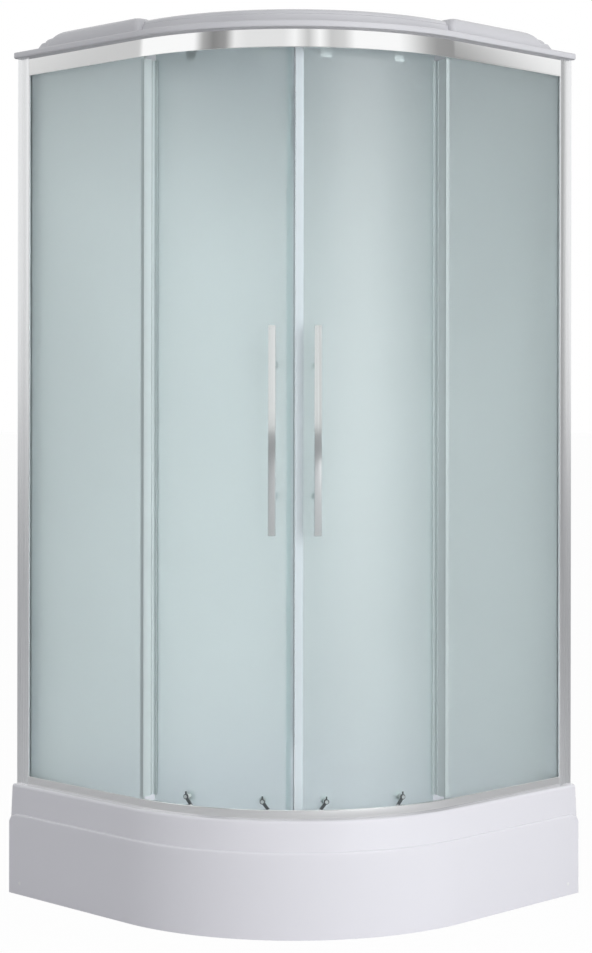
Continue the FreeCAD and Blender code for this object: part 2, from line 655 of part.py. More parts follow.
def make_waste():
    cover = new_body("waste_cover")
    plug = "waste_radius - seat_gap"
    profile = [("0", BASIN_FLOOR + " + cover_rise"),
               ("waste_flange - cover_bevel", BASIN_FLOOR + " + cover_rise"),
               ("waste_flange", BASIN_FLOOR + " + cover_edge"), ("waste_flange", BASIN_FLOOR),
               (plug, BASIN_FLOOR), (plug, BASIN_FLOOR + " - cover_skirt"),
               ("0", BASIN_FLOOR + " - cover_skirt")]
    revolve(cover, draw_polygon(new_sketch(cover, "profile", "XZ_Plane"), profile), "360")
    node(cover)

    flange_foot = BASIN_FLOOR + " - shell - trap_flange_height"
    flange = upright_cylinder("trap_flange", "0", "0", flange_foot, "trap_flange_height",
                              "waste_flange")
    pot = upright_cylinder("trap_pot", "0", "0", "trap_bottom", flange_foot + " - trap_bottom",
                           "trap_radius")
    outlets = []
    for name, radius, reach in (("spigot", "spigot_radius", "spigot_reach"),
                                ("collar", "spigot_collar", "spigot_collar_reach")):
        outlet = doc.addObject("Part::Cylinder", "trap_" + name)
        bind(outlet, "Radius", radius)
        bind(outlet, "Height", reach)
        outlet.Placement = FreeCAD.Placement(Vector(), Rotation(Vector(1, 0, 0), -90))
        bind(outlet, "Placement.Base.z", "trap_bottom + spigot_up")
        outlets.append(outlet)
    node(fuse("waste_trap", [flange, pot] + outlets))


def revolve(body, sketch, angle):
    """Turns a sketch on the XZ plane about the upright axis, half to each side."""
    feature = body.newObject("PartDesign::Revolution", sketch.Label + "_turn")
    feature.Profile = sketch
    feature.ReferenceAxis = (sketch, ["V_Axis"])
    feature.Midplane = True
    bind(feature, "Angle", angle)
    return feature


# ---------------------------------------------------------------------------------------------
# Rails, stiles and fixed panes
# ---------------------------------------------------------------------------------------------

def make_rails():
    rib_back = "rib_inset + rib"
    lip_back = "%s + rib" % TRACK_LIP_INSET
    top_rail = band_pads(new_body("top_rail"), [
        ("roof_wall", "rail_inset", "rail_back", "%s - rail_floor" % RAIL_TOP, "rail_floor"),
        ("web", "rail_inset", "rail_inset + rail_web", RAIL_FOOT, "upper_rail_height"),
        ("rib", "rib_inset", rib_back, RAIL_FOOT + " + upper_track_up",
         "upper_rail_height - upper_track_up"),
        ("track", "rib_inset", lip_back, RAIL_FOOT + " + upper_track_up", "rail_floor"),
        ("track_lip", TRACK_LIP_INSET, lip_back, RAIL_FOOT + " + upper_track_up",
         "rail_floor + track_lip")], "stile_width")
    node(top_rail)

    bottom_rail = band_pads(new_body("bottom_rail"), [
        ("floor", "rail_inset", "rail_back", "tray_height", "rail_floor"),
        ("web", "rail_inset", "rail_inset + rail_web", "tray_height", "lower_rail_height"),
        ("rib", "rib_inset", rib_back, "tray_height", "lower_rail_height - rib"),
        ("track_lip", TRACK_LIP_INSET, lip_back, "tray_height", "rail_floor + track_lip")],
        "stile_width")
    node(bottom_rail)


def stile_outline():
    """The section of a stile on the left leg: a hollow bar with a slot for the pane."""
    wall_end, edge = "-%s" % HALF, "-%s" % STILE_EDGE
    front = "-%s + rail_inset" % HALF
    back = "-%s + rail_inset + stile_depth" % HALF
    slot_front = "-%s + pane_inset - slot_gap" % HALF
    slot_back = "-%s + pane_inset + glass + slot_gap" % HALF
    slot_end = "-%s - pane_in_stile - slot_gap" % STILE_EDGE
    outline = [(wall_end, front), (edge, front), (edge, slot_front), (slot_end, slot_front),
               (slot_end, slot_back), (edge, slot_back), (edge, back), (wall_end, back)]
    chamber = ("%s + stile_wall" % wall_end, "%s - stile_wall" % edge,
               "%s + stile_wall" % slot_back, "%s - stile_wall" % back)
    return outline, chamber


def make_stile(side):
    stile = new_body(side + "_stile")
    outline, (x0, x1, y0, y1) = stile_outline()
    chamber = [(x0, y0), (x1, y0), (x1, y1), (x0, y1)]
    if side == "right":
        outline = [mirrored(x, y) for x, y in outline]
        chamber = [mirrored(x, y) for x, y in chamber]
    section = new_sketch(stile, "section", offset="tray_height")
    draw_polygon(section, outline)
    draw_polygon(section, chamber)
    pad(stile, section, "frame_height")
    return node(stile)


def on_side(side, x0, x1, y0, y1):
    """The spans of a box on the left leg, or on its twin of the right leg."""
    if side == "left":
        return x0, x1, y0, y1
    return "-(%s)" % y1, "-(%s)" % y0, "-(%s)" % x1, "-(%s)" % x0


def make_fixed_side(side):
    front = "-%s + pane_inset" % HALF
    pane_end = "%s + pane_past_leg" % LEG
    spans = on_side(side, "-%s - pane_in_stile" % STILE_EDGE, pane_end, front, front + " + glass")
    node(box(side + "_fixed_pane", *spans, "tray_height + rail_floor + seat_gap",
             RAIL_TOP + " - pane_below_top"))

    # A clear strip that grips the pane's free edge and reaches back towards the door.
    seal = new_body(side + "_pane_seal")
    x_in, x_out = "%s - pane_grip" % pane_end, "%s + seal_wall" % pane_end
    y_front, y_back = "%s - seal_wall" % front, "%s + glass + seal_wall" % front
    outline = [(x_in, y_front), (x_out, y_front), (x_out, front + " + pane_lip_reach"),
               ("%s - seal_wall / 2" % x_out, front + " + pane_lip_reach"), (pane_end, y_back),
               (x_in, y_back), (x_in, front + " + glass"), (pane_end, front + " + glass"),
               (pane_end, front), (x_in, front)]
    if side == "right":
        outline = [mirrored(x, y) for x, y in outline]
    section = draw_polygon(new_sketch(seal, "section", offset=SEAL_FOOT), outline)
    pad(seal, section, "%s - %s" % (SEAL_TOP, SEAL_FOOT))
    node(seal)


def make_rail_fittings():
    brackets, stops = [], []
    for side in DOOR_SIDES:
        track_front = "-%s + rib_inset + rib" % HALF
        track_back = "-%s + %s" % (HALF, TRACK_LIP_INSET)
        start = "-" + STILE_EDGE
        spans = on_side(side, start, "%s + bracket_length" % start, track_front, track_back)
        for name, foot, height in (("upper", UPPER_TRACK, "bracket_length"),
                                   ("lower", "tray_height + rail_floor", "bracket_length - rib")):
            brackets.append(box("rail_end_%s_%s" % (name, side), *spans, foot,
                                "%s + %s" % (foot, height)))
        spans = on_side(side, "-stop_place - stop_length", "-stop_place", track_front,
                        track_back)
        stops.append(box("door_stop_" + side, *spans, UPPER_TRACK,
                         "%s + upper_wheel + stop_length / 2" % UPPER_TRACK))
    node(group("rail_end_brackets", brackets))
    node(group("door_stops", stops))


# ---------------------------------------------------------------------------------------------
# Wall panels and their trims
# ---------------------------------------------------------------------------------------------

def make_wall(side):
    foot, top = "tray_height", RAIL_TOP
    wall_face = "-%s" % HALF
    panel_face = "-%s + panel" % HALF
    front_edge = "-%s + rail_inset + stile_depth" % HALF
    corner = HALF if side == "left" else "%s - panel" % HALF
    spans = on_side(side, wall_face, panel_face, front_edge, corner)
    node(box(side + "_wall_panel", *spans, foot, top))

    trim = new_body(side + "_wall_trim")
    behind = front_edge + " + trim_wall"
    outline = [(panel_face, front_edge), ("-" + STILE_EDGE, front_edge),
               ("-" + STILE_EDGE, behind), (panel_face + " + trim_wall", behind),
               (panel_face + " + trim_wall", front_edge + " + trim_leg"),
               (panel_face, front_edge + " + trim_leg")]
    if side == "right":
        outline = [mirrored(x, y) for x, y in outline]
    pad(trim, draw_polygon(new_sketch(trim, "section", offset=foot), outline), "frame_height")
    node(trim)

    screws = []
    pitch = "(frame_height - clip_low - clip_high) / %d" % (CLIPS_PER_WALL - 1)
    for step in range(CLIPS_PER_WALL):
        head = doc.addObject("Part::Cylinder", "trim_screw_%s_%d" % (side, step))
        bind(head, "Radius", "clip_radius")
        bind(head, "Height", "clip_height")
        x, y = panel_face + " + trim_wall", front_edge + " + trim_leg * 0.6"
        turned = Rotation(Vector(0, 1, 0), 90)
        if side == "right":
            x, y = mirrored(x, y)
            turned = Rotation(Vector(1, 0, 0), 90)
        head.Placement = FreeCAD.Placement(Vector(), turned)
        bind(head, "Placement.Base.x", x)
        bind(head, "Placement.Base.y", y)
        bind(head, "Placement.Base.z", "tray_height + clip_low + %d * %s" % (step, pitch))
        screws.append(head)
    return screws


def make_corner_post():
    post = new_body("corner_post")
    face = "(%s - panel)" % HALF
    tip = "(%s - panel - corner_leg)" % HALF
    inner = "(%s - panel - trim_wall)" % HALF
    outline = [("-" + face, tip), ("-" + inner, tip), ("-" + inner, inner), ("-" + tip, inner),
               ("-" + tip, face), ("-" + face, face)]
    pad(post, draw_polygon(new_sketch(post, "section", offset="tray_height"), outline),
        "frame_height")
    node(post)


# ---------------------------------------------------------------------------------------------
# Roof
# ---------------------------------------------------------------------------------------------

def make_roof():
    roof = new_body("roof")
    flange_top = RAIL_TOP + " + flange_height"
    shoulder = RAIL_TOP + " + shoulder_height"
    crown = RAIL_TOP + " + crown_height"
    shoulder_in = "shoulder_inset + shoulder_draft"
    pad(roof, draw_quadrant(new_sketch(roof, "flange", offset=RAIL_TOP), "roof_inset", "0"),
        "flange_height")
    quadrant_loft(roof, "shoulder", [(flange_top + " - past", "shoulder_inset", "shoulder_inset"),
                                     (shoulder, shoulder_in, shoulder_in)])
    quadrant_loft(roof, "crown", [(shoulder, shoulder_in, shoulder_in),
                                  (crown, "crown_inset", "crown_inset")])
    for side in DOOR_SIDES:
        foot = wing_outline(side, "0", "0", "0", "0")
        top = wing_outline(side, "wing_lean", "wing_step", "wing_face_slope",
                           "wing_back_slope")
        sketches = [draw_polygon(new_sketch(roof, "wing_foot_" + side,
                                            offset=flange_top + " - past"), foot),
                    draw_polygon(new_sketch(roof, "wing_top_" + side,
                                            offset=RAIL_TOP + " + wing_height"), top)]
        loft(roof, sketches)
    quadrant_loft(roof, "opening", [(RAIL_TOP, "roof_opening", "roof_opening"),
                                    (shoulder + " - roof_shell", "roof_opening + roof_shell",
                                     "roof_opening + roof_shell")], cuts=True)
    quadrant_loft(roof, "vault", [(shoulder + " - roof_shell - past", "roof_opening + roof_shell",
                                   "roof_opening + roof_shell"),
                                  (crown + " - roof_shell", "crown_inset + roof_shell",
                                   "crown_inset + roof_shell")], cuts=True)
    node(roof)


def wing_outline(side, wall_slope, front_slope, face_slope, back_slope):
    x0 = "-%s + wing_start + %s" % (HALF, wall_slope)
    x1 = "-wing_end - %s" % front_slope
    y0 = "-%s + wing_inset + %s" % (HALF, face_slope)
    y1 = "-%s + wing_inset + wing_width - %s" % (HALF, back_slope)
    outline = [(x0, y0), (x1, y0), (x1, y1), (x0, y1)]
    if side == "right":
        outline = [mirrored(x, y) for x, y in outline]
    return outline


# ---------------------------------------------------------------------------------------------
# Doors
# ---------------------------------------------------------------------------------------------

def door_turn(side, angle):
    """A turn on the left or the right door, from its angle beside the seam."""
    return "(%d %s (%s))" % (SEAM_TURN, "-" if side == "left" else "+", angle)


def round_strip(label, side, first, last, inner, outer, foot, top):
    """A strip bent about the arc centre, between two angles beside the seam."""
    strip = new_body(label)
    round_centre(strip, door_turn(side, "((%s) + (%s)) / 2" % (first, last)))
    section = draw_box(new_sketch(strip, "section", "XZ_Plane"), inner, outer, foot, top)
    revolve(strip, section, "(%s) - (%s)" % (last, first))
    return strip


def make_door_glass(side):
    sheet_glass = round_strip(side + "_door_sheet", side, "door_start", "door_end", DOOR_INNER,
                              DOOR_OUTER, DOOR_FOOT, DOOR_TOP)
    holes = []
    inside, outside = DOOR_INNER + " - glass", DOOR_OUTER + " + glass"
    for spot in ROLLER_PLACES:
        turn = door_turn(side, spot + "_roller")
        for level, height in (("upper", UPPER_AXLE_Z), ("lower", PIVOT_Z)):
            holes.append(outward_cylinder("%s_%s_%s_hole" % (side, spot, level), turn, height,
                                          "0", inside, outside, "stud_radius"))
    for name, height in handle_posts():
        holes.append(outward_cylinder("%s_handle_%s_hole" % (side, name),
                                      door_turn(side, "handle_angle"), height, "0", inside,
                                      outside, "handle_post_radius"))
    node(cut(side + "_door_glass", sheet_glass, holes))


def make_door_seals(side):
    # The magnetic seal grips the glass beside the seam and carries a flat magnet.
    skin = "seal_wall"
    outer = round_strip(side + "_seal_sleeve", side, "seal_start", "seal_end",
                        DOOR_INNER + " - " + skin, DOOR_OUTER + " + " + skin, DOOR_FOOT, DOOR_TOP)
    slot = round_strip(side + "_seal_slot", side, "door_start", "seal_end + past",
                       DOOR_INNER, DOOR_OUTER, DOOR_FOOT + " - past", DOOR_TOP + " + past")
    sleeve = cut(side + "_seal_grip", outer, [slot])
    node(sleeve, side + "_magnetic_seal")

    # The rear seal wraps the other edge, and its lip reaches out towards the fixed pane.
    start = "door_end - edge_seal_span / 2"
    end = "door_end + edge_seal_span / 2"
    wrap = round_strip(side + "_rear_wrap", side, start, end, DOOR_INNER + " - " + skin,
                       DOOR_OUTER + " + " + skin, SEAL_FOOT, SEAL_TOP)
    lip = round_strip(side + "_rear_lip", side, "door_end + edge_seal_span / 4", end, DOOR_OUTER,
                      DOOR_OUTER + " + edge_seal_reach", SEAL_FOOT, SEAL_TOP)
    gap = round_strip(side + "_rear_slot", side, "door_start", "door_end", DOOR_INNER,
                      DOOR_OUTER, SEAL_FOOT + " - past", SEAL_TOP + " + past")
    node(cut(side + "_rear_seal_cut", fuse(side + "_rear_seal_form", [wrap, lip]), [gap]),
         side + "_rear_seal")


def handle_posts():
    return (("low", "handle_bottom + handle_post_in"),
            ("high", "handle_bottom + handle_length - handle_post_in"))


def make_handle(side):
    turn = door_turn(side, "handle_angle")
    bar = round_centre(new_body(side + "_handle_bar"), turn)
    near, far = DOOR_OUTER + " + handle_stand", DOOR_OUTER + " + handle_stand + handle_thick"
    section = draw_box(new_sketch(bar, "section", offset="handle_bottom"), near, far,
                       "-handle_width / 2", "handle_width / 2")
    base = pad(bar, section, "handle_length")
    doc.recompute()
    edges = ["Edge%d" % (step + 1) for step, edge in enumerate(base.Shape.Edges)
             if edge.BoundBox.XMin > number(far) - 0.01]
    chamfer = bar.newObject("PartDesign::Chamfer", side + "_handle_bevel")
    chamfer.Base = (base, edges)
    bind(chamfer, "Size", "handle_thick / 6")
    node(bar)

    posts, caps = [], []
    for name, height in handle_posts():
        posts.append(outward_cylinder("%s_post_%s" % (side, name), turn, height, "0",
                                      DOOR_INNER + " - handle_cap_height / 2", near,
                                      "handle_post_radius"))
        cap = outward_cylinder("%s_cap_body_%s" % (side, name), turn, height, "0",
                               DOOR_INNER + " - handle_cap_height - seat_gap",
                               DOOR_INNER + " - seat_gap", "handle_cap_radius")
        bore = outward_cylinder("%s_cap_bore_%s" % (side, name), turn, height, "0",
                                DOOR_INNER + " - handle_cap_height / 2", DOOR_INNER,
                                "handle_post_radius")
        caps.append(cut("%s_cap_%s" % (side, name), cap, [bore]))
    node(group(side + "_handle_posts", posts))
    node(group(side + "_handle_caps", caps))


def make_upper_rollers(side):
    """Two carriers on the door's inner face, each with an axle that goes over the track's lip."""
    carriers = []
    wheel_path = "(arc_radius - roller_inset)"
    for spot in ROLLER_PLACES:
        turn = door_turn(side, spot + "_roller")
        tag = "%s_%s" % (side, spot)
        plate = round_centre(new_body(tag + "_carrier_plate"), turn)
        back = DOOR_INNER + " - plate_gap"
        section = draw_box(new_sketch(plate, "section", offset=UPPER_AXLE_Z +
                                      " - carrier_height + carrier_width / 2"),
                           back + " - carrier_thick", back, "-carrier_width / 2",
                           "carrier_width / 2")
        pad(plate, section, "carrier_height")
        stud = outward_cylinder(tag + "_stud", turn, UPPER_AXLE_Z, "0", back,
                                DOOR_OUTER + " + seat_gap", "stud_radius")
        boss = outward_cylinder(tag + "_boss", turn, UPPER_AXLE_Z, "0",
                                DOOR_OUTER + " + seat_gap",
                                wheel_path + " - wheel_width / 2 - boss_gap", "boss_radius")
        axle = outward_cylinder(tag + "_axle", turn, UPPER_AXLE_Z, "0", DOOR_OUTER,
                                wheel_path + " + wheel_width / 2 + axle_end", "upper_axle")
        carriers.append(fuse(tag + "_carrier", [plate, stud, boss, axle]))
        wheel(tag + "_upper_wheel", turn, UPPER_AXLE_Z, "0", "upper_wheel", "upper_axle")
    node(group(side + "_roller_carriers", carriers))


def wheel(label, turn, height, sideways, radius, axle):
    """A plain roller with a shallow groove on its rim, on an axle that points outwards."""
    path = "(arc_radius - roller_inset)"
    inner, outer = path + " - wheel_width / 2", path + " + wheel_width / 2"
    disc = outward_cylinder(label + "_disc", turn, height, sideways, inner, outer, radius)
    bore = outward_cylinder(label + "_bore", turn, height, sideways, inner + " - past",
                            outer + " + past", axle + " + running_gap")
    node(cut(label, disc, [bore]))


def make_lower_rollers(side):
    """Two pivots in the door's foot, each with a sprung arm that carries a roller."""
    pivots = []
    towards_seam = "+" if side == "left" else "-"
    reach = "%sarm_reach" % towards_seam
    arm_back, arm_front = "(arc_radius - arm_inset - arm_thick)", "(arc_radius - arm_inset)"
    for spot in ROLLER_PLACES:
        turn = door_turn(side, spot + "_roller")
        tag = "%s_%s" % (side, spot)
        head = outward_cylinder(tag + "_pivot_head", turn, PIVOT_Z, "0",
                                DOOR_OUTER + " + seat_gap", arm_back + " - seat_gap",
                                "pivot_head")
        pin = outward_cylinder(tag + "_pivot_pin", turn, PIVOT_Z, "0", DOOR_INNER,
                               arm_front + " + pivot_end", "pivot_radius")
        stud = outward_cylinder(tag + "_pivot_stud", turn, PIVOT_Z, "0",
                                DOOR_INNER + " - plate_gap", DOOR_OUTER + " + seat_gap",
                                "stud_radius")
        cap = outward_cylinder(tag + "_pivot_cap", turn, PIVOT_Z, "0",
                               DOOR_INNER + " - plate_gap - pivot_cap_height",
                               DOOR_INNER + " - plate_gap", "handle_cap_radius")
        pivots.append(fuse(tag + "_pivot", [head, pin, stud, cap]))
        make_arm(tag, turn, reach, arm_back, arm_front)
        wheel(tag + "_lower_wheel", turn, LOWER_AXLE_Z, reach, "lower_wheel", "lower_axle")
    node(group(side + "_lower_pivots", pivots))


def make_arm(tag, turn, reach, arm_back, arm_front):
    """A link from the pivot down to the roller, with the release button that lifts it."""
    eye = outward_cylinder(tag + "_arm_eye", turn, PIVOT_Z, "0", arm_back, arm_front, "arm_eye")
    tip = outward_cylinder(tag + "_arm_tip", turn, LOWER_AXLE_Z, reach, arm_back, arm_front,
                           "arm_tip")
    link = round_centre(new_body(tag + "_arm_link"), turn)
    side_step = reach
    outline = [("-arm_tip", PIVOT_Z), ("%s - arm_tip" % side_step, LOWER_AXLE_Z),
               ("%s + arm_tip" % side_step, LOWER_AXLE_Z), ("arm_tip", PIVOT_Z)]
    section = draw_polygon(new_sketch(link, "section", "YZ_Plane", arm_back), outline)
    pad(link, section, "arm_thick")
    axle_tip = "arc_radius - roller_inset + wheel_width / 2 + axle_end"
    axle = outward_cylinder(tag + "_arm_axle", turn, LOWER_AXLE_Z, reach, arm_back, axle_tip,
                            "lower_axle")
    button = doc.addObject("Part::Cylinder", tag + "_arm_button")
    bind(button, "Radius", "button_radius")
    bind(button, "Height", "button_height")
    mid = "(arc_radius - arm_inset - arm_thick / 2)"
    button.Placement = FreeCAD.Placement()
    bind(button, "Placement.Base.x", "%s + %s * cos(%s)" % (LEG, mid, turn))
    bind(button, "Placement.Base.y", "-%s + %s * sin(%s)" % (LEG, mid, turn))
    bind(button, "Placement.Base.z", PIVOT_Z + " + arm_eye - button_sunk")
    bore = outward_cylinder(tag + "_arm_bore", turn, PIVOT_Z, "0", arm_back + " - past",
                            arm_front + " + past", "pivot_radius + running_gap")
    node(cut(tag + "_roller_arm", fuse(tag + "_arm_form", [eye, tip, link, axle, button]),
             [bore]))


# ---------------------------------------------------------------------------------------------
# Build, check and write
# ---------------------------------------------------------------------------------------------

make_tray()
make_apron()
make_support()
make_waste()
make_rails()
for side in DOOR_SIDES:
    make_stile(side)
    make_fixed_side(side)
make_rail_fittings()
wall_screws = []
for side in DOOR_SIDES:
    wall_screws += make_wall(side)
node(group("wall_trim_screws", wall_screws))
make_corner_post()
make_roof()
for side in DOOR_SIDES:
    make_door_glass(side)
    make_door_seals(side)
    make_handle(side)
    make_upper_rollers(side)
    make_lower_rollers(side)
doc.recompute()

failed = [item.Label for item in doc.Objects
          if any(word in item.State for word in ("Invalid", "Error"))]
if failed:
    raise SystemExit("failed: " + ", ".join(failed))
for item in nodes:
    if item.Shape.isNull() or not item.Shape.isValid() or not item.Shape.Solids:
        raise SystemExit("bad shape: " + item.Label)

os.makedirs("parts", exist_ok=True)
for item in nodes:
    item.Shape.exportStep("parts/%s.step" % item.Label)
    print("%-28s solids %2d  volume %12.0f" % (item.Label, len(item.Shape.Solids),
                                              item.Shape.Volume))
print(len(nodes), "nodes")
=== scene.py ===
"""Looks of the quadrant shower enclosure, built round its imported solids.

Lengths are in metres. The floor is z = 0 and the room's corner is at (-X, +Y). An inset is a
distance inwards from the front outline, which is a straight leg, a round front and another
straight leg. The round front turns about ARC_CENTRE.
"""
import json
import math

import bmesh
import bpy
import numpy as np
from mathutils import Matrix, Vector


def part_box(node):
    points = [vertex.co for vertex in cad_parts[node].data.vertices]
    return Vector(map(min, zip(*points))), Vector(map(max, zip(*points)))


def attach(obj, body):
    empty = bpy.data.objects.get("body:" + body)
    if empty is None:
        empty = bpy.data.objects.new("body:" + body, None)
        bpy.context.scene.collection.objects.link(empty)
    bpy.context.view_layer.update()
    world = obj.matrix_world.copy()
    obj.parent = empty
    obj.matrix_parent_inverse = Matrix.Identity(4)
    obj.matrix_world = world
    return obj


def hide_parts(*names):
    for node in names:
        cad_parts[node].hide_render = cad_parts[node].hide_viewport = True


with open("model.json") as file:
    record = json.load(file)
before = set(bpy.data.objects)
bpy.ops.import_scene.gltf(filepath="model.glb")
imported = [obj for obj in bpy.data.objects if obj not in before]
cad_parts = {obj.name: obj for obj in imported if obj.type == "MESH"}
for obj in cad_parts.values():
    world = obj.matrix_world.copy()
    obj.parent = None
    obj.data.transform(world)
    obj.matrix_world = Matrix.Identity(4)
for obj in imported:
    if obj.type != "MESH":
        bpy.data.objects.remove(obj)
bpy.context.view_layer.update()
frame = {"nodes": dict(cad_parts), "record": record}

# ------------------------------------------------------------------------------------------
# Sizes shared with the solids
# ------------------------------------------------------------------------------------------
HALF = 0.5
ARC_RADIUS = 0.55
LEG_END = HALF - ARC_RADIUS
ARC_CENTRE = np.array([LEG_END, -LEG_END])
SEAM_TURN = -45.0
TRAY_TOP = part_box("shower_tray")[1][2]
TRAY_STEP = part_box("shower_tray")[0][2]
APRON_FOOT = 0.002
APRON_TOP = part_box("apron_panel")[1][2]
RAIL_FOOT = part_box("top_rail")[0][2]
RAIL_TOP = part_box("top_rail")[1][2]
ROOF_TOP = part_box("roof")[1][2]
STILE_WIDTH = 0.045
RAIL_INSET = 0.025
PANE_INSET = 0.031
DOOR_INSET = 0.072
DOOR_OUTER = ARC_RADIUS - DOOR_INSET
GLASS = 0.005
BASIN_FLOOR = TRAY_TOP - 0.112
APRON_FACE = 0.0006
SCREW_IN, SCREW_UP, SCREW_RADIUS = 0.042, 0.030, 0.0055
SIDES = ("left", "right")
ARC_STEPS = 72
CORNER_STEPS = 8


# ------------------------------------------------------------------------------------------
# Surfaces
# ------------------------------------------------------------------------------------------
def grid_quads(rows, columns, close_rows=False, close_columns=False):
    """Corner numbers of the quads of a grid: each cell joins a point to its next neighbours."""
    row = np.arange(rows if close_rows else rows - 1)
    column = np.arange(columns if close_columns else columns - 1)
    row, column = np.meshgrid(row, column, indexing="ij")
    next_row, next_column = (row + 1) % rows, (column + 1) % columns
    return np.stack([row * columns + column, row * columns + next_column,
                     next_row * columns + next_column, next_row * columns + column],
                    axis=-1).reshape(-1, 4)


def add_surface(name, points, faces, material, body, replaced=(), sharp=35.0):
    """Puts points and faces into a mesh, turns it the right way out and lets it ride."""
    mesh = bpy.data.meshes.new(name)
    mesh.from_pydata(points.reshape(-1, 3).tolist(), [], [list(face) for face in faces])
    mesh.validate()
    mesh.update()
    piece = bpy.data.objects.new(name, mesh)
    bpy.context.scene.collection.objects.link(piece)
    piece.data.materials.append(material)
    turn_outwards(piece)
    mesh.shade_smooth()
    mesh.set_sharp_from_angle(angle=math.radians(sharp))
    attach(piece, body)
    if replaced:
        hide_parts(*replaced)
    return piece


def turn_outwards(piece):
    """Turns the faces of a closed mesh outwards, after its doubles are merged."""
    shell = bmesh.new()
    shell.from_mesh(piece.data)
    bmesh.ops.remove_doubles(shell, verts=shell.verts, dist=1e-6)
    bmesh.ops.recalc_face_normals(shell, faces=shell.faces)
    shell.to_mesh(piece.data)
    shell.free()


def front_path(end, steps=ARC_STEPS, leg_steps=14):
    """Points and outward normals of the front outline, from one wall end to the other.

    Each leg is a straight line of even steps, and the round front is
    centre + radius * (cos t, sin t) for t from -90 to 0 degrees.
    """
    stop = HALF - end
    near_wall = 0.5 - 0.5 * np.cos(np.linspace(0.0, math.pi, leg_steps))
    leg = -stop + (LEG_END + stop) * near_wall
    turn = np.radians(np.linspace(-90.0, 0.0, steps))
    left = np.stack([leg[:-1], np.full(leg_steps - 1, -HALF)], axis=1)
    arc = ARC_CENTRE + ARC_RADIUS * np.stack([np.cos(turn), np.sin(turn)], axis=1)
    right = np.stack([np.full(leg_steps - 1, HALF), -leg[:-1][::-1]], axis=1)
    down = np.tile([0.0, -1.0], (leg_steps - 1, 1))
    out = np.stack([np.cos(turn), np.sin(turn)], axis=1)
    side = np.tile([1.0, 0.0], (leg_steps - 1, 1))
    return np.concatenate([left, arc, right]), np.concatenate([down, out, side])


def sweep_front(profile, end):
    """A closed profile of (inset, height) carried along the front outline."""
    path, normal = front_path(end)
    profile = np.asarray(profile)
    plan = path[:, None, :] - normal[:, None, :] * profile[None, :, 0, None]
    height = np.broadcast_to(profile[None, :, 1, None], plan.shape[:2] + (1,))
    return np.concatenate([plan, height], axis=2)


def capped(points):
    """Faces of a closed profile carried along an open path, with both ends closed."""
    rows, columns = points.shape[:2]
    faces = grid_quads(rows, columns, close_columns=True).tolist()
    faces.append(list(range(columns)))
    faces.append(list(range((rows - 1) * columns, rows * columns)))
    return faces


def rounded_corner(corner, first, second, radius, steps=CORNER_STEPS):
    """Quarter circle that joins two square directions at a corner.

    Point = corner + radius * (first * (1 - sin t) + second * (1 - cos t)), t from 0 to 90.
    """
    turn = np.linspace(0.0, math.pi / 2, steps)[:, None]
    corner, first, second = map(np.asarray, (corner, first, second))
    return corner + radius * (first * (1 - np.sin(turn)) + second * (1 - np.cos(turn)))


def quadrant_ring(inset, wall_inset, corner, height):
    """Closed outline of the whole quadrant at one height, with its three corners rounded."""
    front, wall = HALF - inset, HALF - wall_inset
    turn = np.radians(np.linspace(-90.0, 0.0, ARC_STEPS))
    arc = ARC_CENTRE + (ARC_RADIUS - inset) * np.stack([np.cos(turn), np.sin(turn)], axis=1)
    ring = np.concatenate([
        rounded_corner((-wall, -front), (0.0, 1.0), (1.0, 0.0), corner), arc,
        rounded_corner((front, wall), (0.0, -1.0), (-1.0, 0.0), corner),
        rounded_corner((-wall, wall), (1.0, 0.0), (0.0, -1.0), corner)])
    return np.concatenate([ring, np.full((len(ring), 1), height)], axis=1)


def round_ring(radius, height):
    """A circle about the middle, with a point in the direction of each point of the outline."""
    ring = quadrant_ring(0.1, 0.1, 0.05, height)
    turn = np.arctan2(ring[:, 1], ring[:, 0])
    return np.stack([radius * np.cos(turn), radius * np.sin(turn), ring[:, 2]], axis=1)


def quarter_round(start, end, bulge, steps=7):
    """Points of a quarter ellipse in a profile, from start to end.

    The first coordinate follows a sine and the second a cosine, or the other way round.
    """
    turn = np.linspace(0.0, math.pi / 2, steps)
    rise, run = (np.sin(turn), 1 - np.cos(turn)) if bulge else (1 - np.cos(turn), np.sin(turn))
    start, end = np.asarray(start), np.asarray(end)
    return np.stack([start[0] + (end[0] - start[0]) * run,
                     start[1] + (end[1] - start[1]) * rise], axis=1)


def mirror_plan(points):
    """The same points on the other half: (x, y, z) becomes (-y, -x, z)."""
    return np.stack([-points[..., 1], -points[..., 0], points[..., 2]], axis=-1)


def on_side(points, side):
    """Points drawn for the left half, mirrored where the side is the right one."""
    return mirror_plan(points) if side == "right" else points


def extrude(outline, low, high, rim=0.0):
    """A closed plan outline raised from low to high.

    With a rim, the outline is drawn in by it at both ends, towards its own middle line.
    """
    outline = np.asarray(outline)
    levels = [(low, 0.0), (high, 0.0)]
    if rim:
        levels = [(low, rim), (low + rim, 0.0), (high - rim, 0.0), (high, rim)]
    middle = outline.mean(axis=0)
    away = outline - middle
    reach = np.abs(away).max(axis=0)
    rows = []
    for height, drawn in levels:
        plan = middle + away * (1 - drawn / reach)
        rows.append(np.concatenate([plan, np.full((len(plan), 1), height)], axis=1))
    return np.stack(rows)


def turned_out(points, turn):
    """Local points (outwards, sideways, up) about the arc centre, at a turn in degrees."""
    angle = math.radians(turn)
    out, side, up = points[..., 0], points[..., 1], points[..., 2]
    cosine, sine = math.cos(angle), math.sin(angle)
    return np.stack([ARC_CENTRE[0] + out * cosine - side * sine,
                     ARC_CENTRE[1] + out * sine + side * cosine, up], axis=-1)


